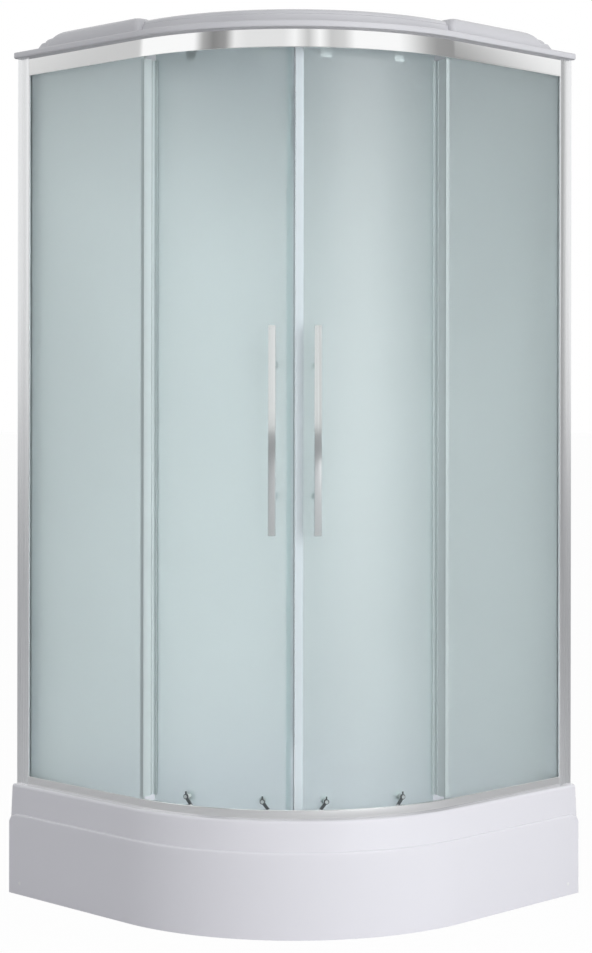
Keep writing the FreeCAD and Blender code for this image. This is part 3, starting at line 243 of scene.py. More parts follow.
def bent_outline(inner, outer, first, last, steps=60, round_off=0.0012):
    """Plan outline of a strip bent about the arc centre, with its four corners rounded.

    Radius = middle + half thickness * profile, where the profile closes at both ends along a
    quarter circle, and the angle runs evenly from first to last.
    """
    middle, half = (inner + outer) / 2, (outer - inner) / 2
    turn = np.radians(np.linspace(first, last, steps))
    tuck = round_off / middle
    turn = np.concatenate([[turn[0]], turn[:1] + tuck * 0.3, turn[:1] + tuck, turn[1:-1],
                           turn[-1:] - tuck, turn[-1:] - tuck * 0.3, [turn[-1]]])
    swell = np.ones(len(turn))
    swell[[0, -1]] = 1 - round_off / half
    swell[[1, -2]] = 1 - 0.3 * round_off / half
    outer_edge = middle + half * swell
    inner_edge = middle - half * swell
    out = np.stack([np.cos(turn), np.sin(turn)], axis=1)
    return np.concatenate([ARC_CENTRE + out * outer_edge[:, None],
                           (ARC_CENTRE + out * inner_edge[:, None])[::-1]])


def paired_slab(outline, low, high):
    """A raised outline, closed with strips of quads: its long sides have as many points."""
    count = len(outline)
    rows = [np.concatenate([outline, np.full((count, 1), height)], axis=1)
            for height in (low, high)]
    faces = grid_quads(2, count, close_columns=True).tolist()
    for base in (0, count):
        first = np.arange(count // 2 - 1)
        strip = np.stack([base + first, base + first + 1, base + count - 2 - first,
                          base + count - 1 - first], axis=1)
        faces += strip.tolist()
    return np.stack(rows), faces


# ------------------------------------------------------------------------------------------
# Finishes
# ------------------------------------------------------------------------------------------
def new_group(name, inputs, outputs):
    """An empty shader group with named sockets: (name, kind, value)."""
    group = bpy.data.node_groups.new(name, "ShaderNodeTree")
    for label, kind, value in inputs:
        socket = group.interface.new_socket(label, in_out="INPUT", socket_type=kind)
        socket.default_value = value
    for label, kind in outputs:
        group.interface.new_socket(label, in_out="OUTPUT", socket_type=kind)
    return group, group.nodes.new("NodeGroupInput"), group.nodes.new("NodeGroupOutput")


def make_mottle_group():
    """Slow, faint changes of a colour over a moulded or etched surface."""
    group, given, result = new_group(
        "moulded_mottle",
        [("Color", "NodeSocketColor", (0.8, 0.8, 0.8, 1)), ("Scale", "NodeSocketFloat", 4.0),
         ("Amount", "NodeSocketFloat", 0.05)],
        [("Color", "NodeSocketColor"), ("Mask", "NodeSocketFloat")])
    nodes, links = group.nodes, group.links
    place = nodes.new("ShaderNodeTexCoord")
    noise = nodes.new("ShaderNodeTexNoise")
    noise.inputs["Detail"].default_value = 3.0
    links.new(place.outputs["Object"], noise.inputs["Vector"])
    links.new(given.outputs["Scale"], noise.inputs["Scale"])
    spread = nodes.new("ShaderNodeMath")
    spread.operation = "MULTIPLY_ADD"
    centre = nodes.new("ShaderNodeMath")
    centre.operation = "SUBTRACT"
    centre.inputs[1].default_value = 0.5
    links.new(noise.outputs["Fac"], centre.inputs[0])
    links.new(centre.outputs[0], spread.inputs[0])
    links.new(given.outputs["Amount"], spread.inputs[1])
    spread.inputs[2].default_value = 1.0
    tint = nodes.new("ShaderNodeVectorMath")
    tint.operation = "SCALE"
    links.new(given.outputs["Color"], tint.inputs[0])
    links.new(spread.outputs[0], tint.inputs["Scale"])
    links.new(tint.outputs["Vector"], result.inputs["Color"])
    links.new(noise.outputs["Fac"], result.inputs["Mask"])
    return group


def make_grain_group():
    """Fine lines drawn along the height of a metal profile."""
    group, given, result = new_group(
        "drawn_grain",
        [("Across", "NodeSocketFloat", 900.0), ("Along", "NodeSocketFloat", 3.0),
         ("Low", "NodeSocketFloat", 0.2), ("High", "NodeSocketFloat", 0.35)],
        [("Roughness", "NodeSocketFloat"), ("Height", "NodeSocketFloat")])
    nodes, links = group.nodes, group.links
    place = nodes.new("ShaderNodeTexCoord")
    stretch = nodes.new("ShaderNodeCombineXYZ")
    for axis in ("X", "Y"):
        links.new(given.outputs["Across"], stretch.inputs[axis])
    links.new(given.outputs["Along"], stretch.inputs["Z"])
    scaled = nodes.new("ShaderNodeVectorMath")
    scaled.operation = "MULTIPLY"
    links.new(place.outputs["Object"], scaled.inputs[0])
    links.new(stretch.outputs["Vector"], scaled.inputs[1])
    noise = nodes.new("ShaderNodeTexNoise")
    noise.inputs["Scale"].default_value = 1.0
    noise.inputs["Detail"].default_value = 2.0
    links.new(scaled.outputs["Vector"], noise.inputs["Vector"])
    span = nodes.new("ShaderNodeMapRange")
    links.new(noise.outputs["Fac"], span.inputs["Value"])
    links.new(given.outputs["Low"], span.inputs["To Min"])
    links.new(given.outputs["High"], span.inputs["To Max"])
    span.inputs["From Min"].default_value = 0.3
    span.inputs["From Max"].default_value = 0.7
    links.new(span.outputs["Result"], result.inputs["Roughness"])
    links.new(noise.outputs["Fac"], result.inputs["Height"])
    return group


MOTTLE = make_mottle_group()
GRAIN = make_grain_group()


def shader_of(name):
    """A new material with its nodes, its links and its main shader."""
    material = bpy.data.materials.new(name)
    material.use_nodes = True
    nodes, links = material.node_tree.nodes, material.node_tree.links
    return material, nodes, links, nodes["Principled BSDF"]


def add_bump(nodes, links, shader, height, strength, distance):
    """Fine relief from a height, for the shader's normal."""
    bump = nodes.new("ShaderNodeBump")
    bump.inputs["Strength"].default_value = strength
    bump.inputs["Distance"].default_value = distance
    links.new(height, bump.inputs["Height"])
    links.new(bump.outputs["Normal"], shader.inputs["Normal"])


def moulded(name, colour, roughness, amount=0.03, scale=5.0, coat=0.0, orange_peel=0.05):
    """A moulded plastic: a faint mottle, and the soft ripple of a formed sheet."""
    material, nodes, links, shader = shader_of(name)
    mottle = nodes.new("ShaderNodeGroup")
    mottle.node_tree = MOTTLE
    mottle.inputs["Color"].default_value = (*colour, 1)
    mottle.inputs["Scale"].default_value = scale
    mottle.inputs["Amount"].default_value = amount
    links.new(mottle.outputs["Color"], shader.inputs["Base Color"])
    shader.inputs["Roughness"].default_value = roughness
    shader.inputs["Coat Weight"].default_value = coat
    shader.inputs["Coat Roughness"].default_value = 0.06
    ripple = nodes.new("ShaderNodeTexNoise")
    ripple.inputs["Scale"].default_value = 60.0
    place = nodes.new("ShaderNodeTexCoord")
    links.new(place.outputs["Object"], ripple.inputs["Vector"])
    add_bump(nodes, links, shader, ripple.outputs["Fac"], orange_peel, 0.0005)
    return material


def metal(name, colour, low, high, across=900.0, along=3.0, relief=0.02):
    """A drawn or polished metal: fine lines change its roughness and its relief."""
    material, nodes, links, shader = shader_of(name)
    shader.inputs["Base Color"].default_value = (*colour, 1)
    shader.inputs["Metallic"].default_value = 1.0
    grain = nodes.new("ShaderNodeGroup")
    grain.node_tree = GRAIN
    grain.inputs["Across"].default_value = across
    grain.inputs["Along"].default_value = along
    grain.inputs["Low"].default_value = low
    grain.inputs["High"].default_value = high
    links.new(grain.outputs["Roughness"], shader.inputs["Roughness"])
    add_bump(nodes, links, shader, grain.outputs["Height"], relief, 0.0002)
    return material


def etched_glass(name, colour, roughness, through, speckle=0.0, passing=0.85, bend=1.45):
    """Satin glass: the etch scatters what lies behind it, with a faint cloudiness.

    A lamp's light goes through it by the share that is passing, so the room behind is lit. Bend
    is the refractive index.
    """
    material, nodes, links, shader = shader_of(name)
    mottle = nodes.new("ShaderNodeGroup")
    mottle.node_tree = MOTTLE
    mottle.inputs["Color"].default_value = (*colour, 1)
    mottle.inputs["Scale"].default_value = 2.2
    mottle.inputs["Amount"].default_value = 0.10
    links.new(mottle.outputs["Color"], shader.inputs["Base Color"])
    shader.inputs["Roughness"].default_value = roughness
    shader.inputs["IOR"].default_value = bend
    shader.inputs["Transmission Weight"].default_value = through
    if speckle:
        etch = nodes.new("ShaderNodeTexNoise")
        etch.inputs["Scale"].default_value = 700.0
        place = nodes.new("ShaderNodeTexCoord")
        links.new(place.outputs["Object"], etch.inputs["Vector"])
        add_bump(nodes, links, shader, etch.outputs["Fac"], speckle, 0.0002)
    path = nodes.new("ShaderNodeLightPath")
    share = nodes.new("ShaderNodeMath")
    share.operation = "MULTIPLY"
    share.inputs[1].default_value = passing
    links.new(path.outputs["Is Shadow Ray"], share.inputs[0])
    clear = nodes.new("ShaderNodeBsdfTransparent")
    mix = nodes.new("ShaderNodeMixShader")
    links.new(share.outputs[0], mix.inputs["Fac"])
    links.new(shader.outputs["BSDF"], mix.inputs[1])
    links.new(clear.outputs["BSDF"], mix.inputs[2])
    links.new(mix.outputs["Shader"], nodes["Material Output"].inputs["Surface"])
    return material


FINISH = {
    "tray_acrylic": moulded("tray_acrylic", (0.815, 0.81, 0.855), 0.22, 0.02, 3.0, coat=0.35),
    "roof_plastic": moulded("roof_plastic", (0.65, 0.65, 0.68), 0.25, 0.03, 4.0, coat=0.2),
    "wall_panel": moulded("wall_panel_sheet", (0.86, 0.87, 0.87), 0.30, 0.02, 2.0),
    "profile": metal("satin_profile", (0.93, 0.94, 0.95), 0.20, 0.30),
    "rail": metal("polished_rail", (0.94, 0.945, 0.945), 0.04, 0.07, 500.0, 2.0, 0.005),
    "frosted_glass": etched_glass("frosted_glass", (0.775, 0.845, 0.848), 0.45, 0.95, 0.15),
    "chromed_brass": metal("satin_handle", (0.84, 0.87, 0.87), 0.14, 0.24, 1200.0, 4.0),
    "steel": metal("zinc_plated_steel", (0.55, 0.56, 0.57), 0.40, 0.55, 60.0, 20.0, 0.1),
    "stainless": metal("turned_steel", (0.62, 0.62, 0.63), 0.22, 0.35, 40.0, 900.0, 0.05),
    "white_plastic": moulded("white_fittings", (0.82, 0.82, 0.83), 0.40, 0.03, 40.0),
    "magnet": moulded("seal_magnet", (0.28, 0.31, 0.33), 0.45, 0.03, 40.0),
    "grey_plastic": moulded("dark_fittings", (0.09, 0.10, 0.105), 0.45, 0.08, 60.0),
    "pivot": moulded("pale_fittings", (0.56, 0.61, 0.61), 0.40, 0.03, 40.0),
    "seam_seal": etched_glass("seam_seal", (0.80, 0.865, 0.87), 0.30, 0.95, bend=1.06),
    "clear_seal": etched_glass("clear_seal", (0.68, 0.745, 0.75), 0.35, 0.40, bend=1.15),
    "white_seal": etched_glass("milky_seal", (0.815, 0.875, 0.905), 0.20, 0.35, bend=1.2),
}

for entry in frame["record"]["subparts"]:
    node = frame["nodes"][entry["node"]]
    for place in node.material_slots:
        place.material = FINISH[entry["material_slot"]]
for name, finish in (("left_magnetic_seal", "seam_seal"), ("left_lower_pivots", "pivot"),
                     ("right_lower_pivots", "pivot")):
    for place in frame["nodes"][name].material_slots:
        place.material = FINISH[finish]


# ------------------------------------------------------------------------------------------
# Tray, apron and roof
# ------------------------------------------------------------------------------------------
def build_tray():
    """The acrylic tray as one closed skin: rings go in over the rim, down the basin to the
    waste's hole, and back underneath to the rim's step.
    """
    shell, skirt = 0.004, 0.003
    lean, edge = 0.009, 0.007
    wall, wall_lack, rim_corner = 0.0005, 0.044, 0.004
    top_edge = quarter_round((lean, TRAY_TOP - edge), (lean + edge, TRAY_TOP), True)
    basin_edge = quarter_round((0.098, TRAY_TOP), (0.106, TRAY_TOP - 0.010), False)
    turn = np.linspace(0.0, math.pi / 2, 7)
    floor_bend = np.stack([0.124 + 0.030 * (1 - np.cos(turn)),
                           BASIN_FLOOR + 0.022 * (1 - np.sin(turn))], axis=1)
    waste_radius = 0.047
    rings = [quadrant_ring(inset, wall, rim_corner, height) for inset, height in top_edge]
    rings += [quadrant_ring(inset, inset - wall_lack, 0.055, height)
              for inset, height in basin_edge]
    rings.append(quadrant_ring(0.110, 0.110 - wall_lack, 0.060, TRAY_TOP - 0.030))
    rings += [quadrant_ring(inset, inset - wall_lack, 0.065, height)
              for inset, height in floor_bend]
    rings += [
        quadrant_ring(0.26, 0.22, 0.070, BASIN_FLOOR - 0.0005),
        round_ring(waste_radius, BASIN_FLOOR),
        round_ring(waste_radius, BASIN_FLOOR - shell),
        quadrant_ring(0.26, 0.22, 0.070, BASIN_FLOOR - shell),
        quadrant_ring(0.126, 0.080, 0.070, BASIN_FLOOR - shell + 0.002),
        quadrant_ring(0.102, 0.058, 0.060, TRAY_TOP - 0.020),
        quadrant_ring(0.098, 0.054, 0.055, TRAY_TOP - shell),
        quadrant_ring(lean + shell, shell, rim_corner, TRAY_TOP - shell),
        quadrant_ring(skirt + shell, shell, rim_corner, TRAY_STEP),
        quadrant_ring(skirt, wall, rim_corner, TRAY_STEP),
        quadrant_ring(skirt + 0.0002, wall, rim_corner, TRAY_STEP + 0.002)]
    points = np.stack(rings)
    faces = grid_quads(*points.shape[:2], close_rows=True, close_columns=True).tolist()
    add_surface("shower_tray_skin", points, faces, FINISH["tray_acrylic"],
                "cabin", ("shower_tray",), sharp=50)


def build_apron():
    """The front panel: a sheet with a folded, rounded top edge and rounded end corners.

    A corner is cut by a quarter circle of radius r: at s from the wall, the top drops by
    r - sqrt(r^2 - (r - s)^2), and what is below it drops less, down to nothing at the zone's
    foot.
    """
    wall, bend, fold, lip, face = 0.004, 0.006, 0.002, 0.012, APRON_FACE
    radius, zone = 0.022, 0.06
    top = quarter_round((face, APRON_TOP - bend), (bend, APRON_TOP), True)
    profile = np.array([(face, APRON_FOOT), (face, APRON_FOOT + zone), (face, APRON_TOP - zone),
                        (face, APRON_TOP - zone / 2), (face, APRON_TOP - zone / 4),
                        *top.tolist(), (lip, APRON_TOP), (lip, APRON_TOP - wall),
                        (wall + fold, APRON_TOP - wall), (wall, APRON_TOP - wall - fold),
                        (wall, APRON_FOOT)])
    points = sweep_front(profile, 0.0005)
    from_wall = np.minimum(points[..., 0] + HALF, HALF - points[..., 1])
    lack = np.clip(radius - from_wall, 0.0, radius)
    drop = radius - np.sqrt(radius ** 2 - lack ** 2)
    share = np.clip((points[..., 2] - (APRON_TOP - zone)) / zone, 0.0, 1.0)
    points[..., 2] -= drop * share
    add_surface("apron_front", points, capped(points), FINISH["tray_acrylic"],
                "cabin", ("apron_panel",), sharp=50)


def build_apron_screws():
    """The panel screws: each has a low domed cap that stands a little proud of the panel.

    Rings about the screw's own line, as (radius, inset): the cap's inset grows as the radius
    squared, and the shank behind it ends at the panel's back.
    """
    crest, dome, panel_back = 0.0001, 0.0008, 0.004
    cap = np.linspace(0.0, SCREW_RADIUS, 6)
    rings = [(radius, crest + dome * (radius / SCREW_RADIUS) ** 2) for radius in cap]
    rings += [(SCREW_RADIUS, panel_back), (0.0, panel_back)]
    turn = np.linspace(0.0, 2 * math.pi, 24, endpoint=False)
    disc = np.array([[(SCREW_IN - HALF + radius * math.cos(angle), inset - HALF,
                       SCREW_UP + radius * math.sin(angle)) for angle in turn]
                     for radius, inset in rings])
    faces = grid_quads(len(rings), len(turn), close_columns=True)
    points = np.concatenate([disc.reshape(-1, 3), mirror_plan(disc).reshape(-1, 3)])
    faces = np.concatenate([faces, faces + disc.shape[0] * disc.shape[1]])
    add_surface("apron_screw_caps", points, faces.tolist(), FINISH["white_plastic"],
                "cabin", ("apron_screws",), sharp=50)


def build_roof():
    """The formed roof: a flange, a steep shoulder and a low crown, closed underneath.

    The flange's edge is a squarish half round, whose sine and cosine are raised to a power.
    Quarter rounds join it to the shoulder and the shoulder to the crown, which falls as the
    square of the way out from the middle.
    """
    flange, shoulder, thick = RAIL_TOP + 0.015, RAIL_TOP + 0.050, 0.0035
    edge_in, edge_out, edge_up, edge_half = 0.0165, 0.0075, 0.0076, 0.0073
    foot_bend, top_bend, top_drop = 0.007, 0.022, 0.012
    crown_start, crown_reach = 0.078, 0.250
    rings = [quadrant_ring(0.092, 0.092, 0.02, RAIL_TOP),
             quadrant_ring(0.013, 0.001, 0.004, RAIL_TOP)]
    for turn in np.linspace(-math.pi / 2, math.pi / 2, 15):
        inset = edge_in - edge_out * math.cos(turn) ** 0.35
        height = math.copysign(abs(math.sin(turn)) ** 0.5, turn)
        rings.append(quadrant_ring(inset, 0.001, 0.006,
                                   RAIL_TOP + edge_up + edge_half * height))
    rings.append(quadrant_ring(0.030, 0.012, 0.010, flange + 0.0008))
    rise = np.linspace(0.0, math.pi / 2, 7)
    for turn in rise:
        run, climb = foot_bend * math.sin(turn), foot_bend * (1 - math.cos(turn))
        rings.append(quadrant_ring(0.040 + run, 0.030 + run, 0.020, flange + 0.001 + climb))
    rings.append(quadrant_ring(0.052, 0.044, 0.025, shoulder - 0.014))
    for turn in rise:
        run, climb = top_bend * (1 - math.cos(turn)), top_drop * math.sin(turn)
        rings.append(quadrant_ring(0.056 + run, 0.050 + run, 0.030,
                                   shoulder - top_drop + climb))
    for share in (0.15, 0.35, 0.6, 0.8, 1.0):
        drop = (ROOF_TOP - shoulder) * (1 - share) ** 2
        run = crown_reach * share
        rings.append(quadrant_ring(crown_start + run, crown_start - 0.006 + run,
                                   0.035 + 0.05 * share, ROOF_TOP - drop - 0.001))
    rings += [round_ring(0.004, ROOF_TOP - 0.0005), round_ring(0.003, ROOF_TOP - thick),
              quadrant_ring(0.330, 0.324, 0.085, ROOF_TOP - thick),
              quadrant_ring(0.098, 0.098, 0.04, shoulder - thick)]
    points = np.stack(rings)
    faces = grid_quads(*points.shape[:2], close_rows=True, close_columns=True).tolist()
    add_surface("roof_skin", points, faces, FINISH["roof_plastic"], "cabin",
                ("roof",), sharp=40)
    for side in SIDES:
        build_wing(side)


def build_wing(side):
    """A raised pad along a leg of the roof: its outline shrinks and rises along an S curve."""
    foot, top, radius = RAIL_TOP + 0.0155, RAIL_TOP + 0.053, 0.012
    rings = []
    for angle in np.linspace(0.0, math.pi / 2, 15):
        shrink = 1 - math.cos(angle)
        height = foot + (top - foot) * math.sin(angle)
        x0 = -0.398 + 0.062 * shrink
        x1 = -0.056 - 0.016 * shrink
        y0 = -HALF + 0.031 + 0.016 * shrink
        y1 = -HALF + 0.094 - 0.012 * shrink
        outline = np.concatenate([
            rounded_corner((x0, y0), (0, 1), (1, 0), radius, 7),
            rounded_corner((x1, y0), (-1, 0), (0, 1), radius, 7),
            rounded_corner((x1, y1), (0, -1), (-1, 0), radius, 7),
            rounded_corner((x0, y1), (1, 0), (0, -1), radius, 7)])
        rings.append(np.concatenate([outline, np.full((len(outline), 1), height)], axis=1))
    points = on_side(np.stack(rings), side)
    add_surface(side + "_roof_wing", points, capped(points), FINISH["roof_plastic"],
                "cabin", sharp=60)


# ------------------------------------------------------------------------------------------
# Frame
# ------------------------------------------------------------------------------------------
def rail_face(low, high, crown, rounding=0.0008):
    """Front of a rail's section: a faint crown, inset + crown * share^2, and round edges."""
    share = np.linspace(-1.0, 1.0, 9)[1:-1]
    middle, half = (high + low) / 2, (high - low) / 2
    flat = np.stack([RAIL_INSET + crown * share ** 2, middle + half * share], axis=1)
    edge = RAIL_INSET + crown
    foot = quarter_round((edge + rounding, low), (edge, low + rounding), False, 5)
    top = quarter_round((edge, high - rounding), (edge + rounding, high), True, 5)
    return np.concatenate([foot, flat, top])


def build_rails():
    """Both rails: the drawn section of each, as insets and heights. Behind the face come the
    pane's slot, a rib, the rollers' track and its lip.
    """
    face_back, rib_front, rib_back, skin = 0.028, 0.038, 0.040, 0.0025
    lip_front, lip_back, lip_up, back = 0.062, 0.064, 0.006, 0.086
    low, high = RAIL_FOOT, RAIL_TOP
    track = low + 0.010
    upper = [*rail_face(low, high, 0.0003).tolist(), (back, high), (back, high - skin),
             (rib_back, high - skin), (rib_back, track + skin), (lip_front, track + skin),
             (lip_front, track + lip_up), (lip_back, track + lip_up), (lip_back, track),
             (rib_front, track), (rib_front, high - skin), (face_back, high - skin),
             (face_back, low)]
    points = sweep_front(upper, STILE_WIDTH)
    add_surface("upper_rail_section", points, capped(points), FINISH["rail"], "cabin",
                ("top_rail",), sharp=40)

    low, high = TRAY_TOP, TRAY_TOP + 0.022
    rib_top = high - 0.002
    lower = [*rail_face(low, high, 0.0002).tolist(), (face_back, high), (face_back, low + skin),
             (rib_front, low + skin), (rib_front, rib_top), (rib_back, rib_top),
             (rib_back, low + skin), (lip_front, low + skin), (lip_front, low + lip_up),
             (lip_back, low + lip_up), (lip_back, low + skin), (back, low + skin), (back, low)]
    points = sweep_front(lower, STILE_WIDTH)
    add_surface("lower_rail_section", points, capped(points), FINISH["rail"], "cabin",
                ("bottom_rail",), sharp=40)


def build_stile(side):
    """A stile's drawn section, raised: rounded front corners and a slot for the pane."""
    play, slot_depth, depth = 0.0004, 0.0334, 0.066
    x_wall, x_edge = -HALF, -HALF + STILE_WIDTH
    y_front, y_back = -HALF + RAIL_INSET, -HALF + depth
    slot_front, slot_back = -HALF + PANE_INSET - play, -HALF + PANE_INSET + GLASS + play
    slot_end = x_edge - slot_depth
    outline = np.concatenate([
        rounded_corner((x_wall, y_front), (0, 1), (1, 0), 0.0015, 4),
        rounded_corner((x_edge, y_front), (-1, 0), (0, 1), 0.0025, 5),
        [(x_edge, slot_front), (slot_end, slot_front), (slot_end, slot_back),
         (x_edge, slot_back), (x_edge, y_back), (x_wall, y_back)]])
    points = on_side(extrude(outline, TRAY_TOP, RAIL_TOP), side)
    add_surface(side + "_stile_section", points, capped(points), FINISH["profile"],
                "cabin", (side + "_stile",), sharp=40)


def build_fixed_pane(side):
    """A flat pane with ground edges: each edge is a bevel on both faces."""
    low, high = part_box("left_fixed_pane")
    bevel = 0.0008
    x = np.array([low[0], low[0] + bevel, high[0] - bevel, high[0]])
    front = np.array([low[1] + bevel, low[1], low[1], low[1] + bevel])
    back = low[1] + high[1] - front
    outline = np.concatenate([np.stack([x, front], axis=1),
                              np.stack([x, back], axis=1)[::-1]])
    points, faces = paired_slab(outline, low[2], high[2])
    add_surface(side + "_fixed_pane_sheet", on_side(points, side), faces,
                FINISH["frosted_glass"], "cabin", (side + "_fixed_pane",),
                sharp=30)


# ------------------------------------------------------------------------------------------
# Doors
# ------------------------------------------------------------------------------------------
def side_turn(side, angle):
    """Degrees about the arc centre of a place that lies at an angle from the seam."""
    return SEAM_TURN + (-angle if side == "left" else angle)


def build_door(side):
    """A bent pane with ground edges, from near the seam to behind the fixed pane."""
    near_seam, far_end, bevel = 1.2, 43.2, 0.0008
    low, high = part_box(side + "_door_glass")
    outline = bent_outline(DOOR_OUTER - GLASS, DOOR_OUTER, side_turn(side, near_seam),
                           side_turn(side, far_end), 90, bevel)
    points, faces = paired_slab(outline, low[2], high[2])
    add_surface(side + "_bent_pane", points, faces, FINISH["frosted_glass"],
                side + "_door", (side + "_door_glass",), sharp=30)


def build_magnet_strip():
    """The dark magnet in the left seal's edge, which the seam between the doors shows."""
    near_seam, far_end, proud, thick, play = 0.10, 0.45, 0.0024, 0.004, 0.0005
    low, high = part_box("left_magnetic_seal")
    front = DOOR_OUTER + proud
    outline = bent_outline(front - thick, front, side_turn("left", far_end),
                           side_turn("left", near_seam), 6, 0.0004)
    points, faces = paired_slab(outline, low[2] + play, high[2] - play)
    add_surface("left_seal_magnet", points, faces, FINISH["magnet"],
                "left_door", sharp=30)


def build_handle(side):
    """A flat bar with rounded edges: a rounded rectangle raised along the height."""
    low, high, half_width, thick, from_seam = 0.914, 1.394, 0.0085, 0.009, 5.8
    near_edge, far_edge, end_edge = 0.001, 0.0016, 0.0008
    near = DOOR_OUTER + 0.036
    far = near + thick
    outline = np.concatenate([
        rounded_corner((near, -half_width), (0, 1), (1, 0), near_edge, 4),
        rounded_corner((far, -half_width), (-1, 0), (0, 1), far_edge, 5),
        rounded_corner((far, half_width), (0, -1), (-1, 0), far_edge, 5),
        rounded_corner((near, half_width), (1, 0), (0, -1), near_edge, 4)])
    points = turned_out(extrude(outline, low, high, end_edge), side_turn(side, from_seam))
    add_surface(side + "_handle_grip", points, capped(points), FINISH["chromed_brass"],
                side + "_door", (side + "_handle_bar",), sharp=50)


# ------------------------------------------------------------------------------------------
# Stage, lamps and camera
# ------------------------------------------------------------------------------------------
def build_floor():
    """A pale floor that keeps a soft shadow and reaches the horizon.

    To the eye, white shines through it by a fixed share.
    """
    size, seen_white = 60.0, 0.975
    corner = np.array([[-size, -size, 0.0], [size, -size, 0.0], [size, size, 0.0],
                       [-size, size, 0.0]])
    mesh = bpy.data.meshes.new("floor")
    mesh.from_pydata(corner.tolist(), [], [[0, 1, 2, 3]])
    floor = bpy.data.objects.new("floor", mesh)
    bpy.context.scene.collection.objects.link(floor)
    material, nodes, links, shader = shader_of("pale_floor")
    shader.inputs["Base Color"].default_value = (0.72, 0.72, 0.73, 1)
    shader.inputs["Roughness"].default_value = 0.9
    glow = nodes.new("ShaderNodeEmission")
    glow.inputs["Color"].default_value = (1, 1, 1, 1)
    glow.inputs["Strength"].default_value = 1.0
    path = nodes.new("ShaderNodeLightPath")
    share = nodes.new("ShaderNodeMath")
    share.operation = "MULTIPLY"
    share.inputs[1].default_value = seen_white
    links.new(path.outputs["Is Camera Ray"], share.inputs[0])
    mix = nodes.new("ShaderNodeMixShader")
    links.new(share.outputs[0], mix.inputs["Fac"])
    links.new(shader.outputs["BSDF"], mix.inputs[1])
    links.new(glow.outputs["Emission"], mix.inputs[2])
    links.new(mix.outputs["Shader"], nodes["Material Output"].inputs["Surface"])
    mesh.materials.append(material)


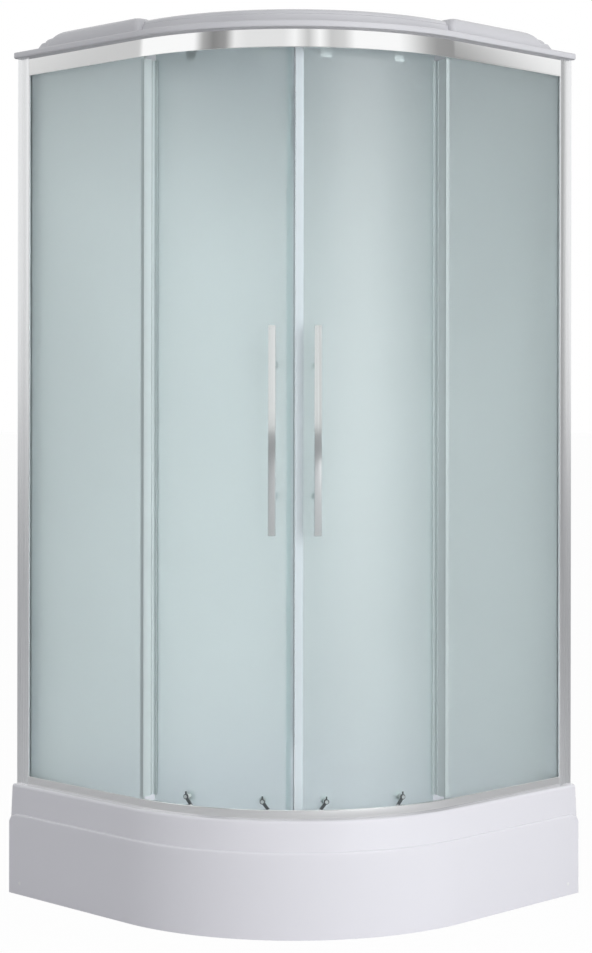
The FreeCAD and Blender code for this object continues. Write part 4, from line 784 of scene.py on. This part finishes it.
def build_world():
    """A white surround for the eye, and a studio of pale and dark screens for the gloss.

    The screens are a ramp over the angle round the object, and a plain lamp lights the rest.
    """
    first, span_width, eye_turn = -120.0, 240.0, -45.0
    world = bpy.data.worlds.new("studio")
    bpy.context.scene.world = world
    world.use_nodes = True
    nodes, links = world.node_tree.nodes, world.node_tree.links
    nodes.clear()
    place = nodes.new("ShaderNodeTexCoord")
    split = nodes.new("ShaderNodeSeparateXYZ")
    links.new(place.outputs["Generated"], split.inputs["Vector"])
    turn = nodes.new("ShaderNodeMath")
    turn.operation = "ARCTAN2"
    links.new(split.outputs["Y"], turn.inputs[0])
    links.new(split.outputs["X"], turn.inputs[1])
    span = nodes.new("ShaderNodeMapRange")
    links.new(turn.outputs[0], span.inputs["Value"])
    span.inputs["From Min"].default_value = math.radians(eye_turn + first)
    span.inputs["From Max"].default_value = math.radians(eye_turn + first + span_width)
    ramp = nodes.new("ShaderNodeValToRGB")
    links.new(span.outputs["Result"], ramp.inputs["Fac"])
    # (degrees from the camera's side, brightness): screens round the room, as the rail shows.
    screens = [(-120, 0.90), (-99, 0.85), (-95, 0.60), (-92, 0.62), (-89, 1.0), (-55, 1.0),
               (-50, 0.42), (-44, 0.25), (-37, 0.33), (-32, 0.88), (-25, 0.80), (-6, 0.80),
               (0, 0.97), (7, 0.58), (13, 1.0), (19, 0.60), (26, 0.68), (32, 1.0), (57, 1.0),
               (63, 0.85), (70, 0.63), (76, 0.45), (82, 0.34), (94, 0.31), (97, 0.95),
               (120, 1.0)]
    elements = ramp.color_ramp.elements
    while len(elements) > 1:
        elements.remove(elements[-1])
    for step, (degrees, brightness) in enumerate(screens):
        position = (degrees - first) / span_width
        stop = elements[0] if step == 0 else elements.new(position)
        stop.position = position
        stop.color = (brightness, brightness, brightness, 1)
    path = nodes.new("ShaderNodeLightPath")
    seen = nodes.new("ShaderNodeMix")
    seen.data_type = "RGBA"
    links.new(path.outputs["Is Glossy Ray"], seen.inputs["Factor"])
    seen.inputs["A"].default_value = (1, 1, 1, 1)
    links.new(ramp.outputs["Color"], seen.inputs["B"])
    lamp = nodes.new("ShaderNodeBackground")
    lamp.inputs["Color"].default_value = (0.97, 0.98, 1.0, 1)
    lamp.inputs["Strength"].default_value = 0.40
    surround = nodes.new("ShaderNodeBackground")
    links.new(seen.outputs["Result"], surround.inputs["Color"])
    either = nodes.new("ShaderNodeMath")
    either.operation = "MAXIMUM"
    links.new(path.outputs["Is Camera Ray"], either.inputs[0])
    links.new(path.outputs["Is Glossy Ray"], either.inputs[1])
    any_view = nodes.new("ShaderNodeMath")
    any_view.operation = "MAXIMUM"
    links.new(either.outputs[0], any_view.inputs[0])
    links.new(path.outputs["Is Transmission Ray"], any_view.inputs[1])
    mix = nodes.new("ShaderNodeMixShader")
    links.new(any_view.outputs[0], mix.inputs["Fac"])
    links.new(lamp.outputs["Background"], mix.inputs[1])
    links.new(surround.outputs["Background"], mix.inputs[2])
    output = nodes.new("ShaderNodeOutputWorld")
    links.new(mix.outputs["Shader"], output.inputs["Surface"])


def add_softbox(name, place, aim, width, height, power):
    """A soft lamp at a place, aimed at a point, which the gloss doesn't mirror."""
    light = bpy.data.lights.new(name, "AREA")
    light.shape = "RECTANGLE"
    light.size, light.size_y, light.energy = width, height, power
    lamp = bpy.data.objects.new(name, light)
    bpy.context.scene.collection.objects.link(lamp)
    lamp.location = place
    lamp.rotation_euler = (Vector(aim) - Vector(place)).to_track_quat("-Z", "Y").to_euler()
    lamp.visible_glossy = False
    return lamp


def build_camera():
    """The photographed view: level, as high as the handles, in line with the doors' seam."""
    distance, azimuth, height = 5.3374, math.radians(-45.15), 1.2243
    focal_px, width_px, height_px = 2151.0, 592.0, 953.0
    centre_px, level_px = 294.5, 399.7
    roll = math.radians(0.08)
    data = bpy.data.cameras.new("camera")
    data.sensor_fit = "HORIZONTAL"
    data.sensor_width = 36.0
    data.lens = focal_px * data.sensor_width / width_px
    data.shift_x = (width_px / 2 - centre_px) / width_px
    data.shift_y = (level_px - height_px / 2) / width_px
    data.clip_end = 200.0
    camera = bpy.data.objects.new("camera", data)
    bpy.context.scene.collection.objects.link(camera)
    place = Vector((distance * math.cos(azimuth), distance * math.sin(azimuth), height))
    look = Vector((-math.cos(azimuth), -math.sin(azimuth), 0.0))
    turned = look.to_track_quat("-Z", "Y").to_matrix() @ Matrix.Rotation(roll, 3, "Z")
    camera.matrix_world = Matrix.Translation(place) @ turned.to_4x4()
    bpy.context.scene.camera = camera


build_tray()
build_apron()
build_apron_screws()
build_roof()
build_rails()
for side in SIDES:
    build_stile(side)
    build_fixed_pane(side)
    build_door(side)
    build_handle(side)
build_magnet_strip()
build_floor()
build_world()
add_softbox("key_box", (4.4, -0.7, 1.7), (0.2, 0.0, 0.9), 2.4, 3.2, 118.0)
add_softbox("fill_box", (-1.8, -3.6, 4.6), (-0.2, -0.2, 1.2), 2.0, 2.0, 36.0)
build_camera()
bpy.context.scene.view_settings.view_transform = "Standard"
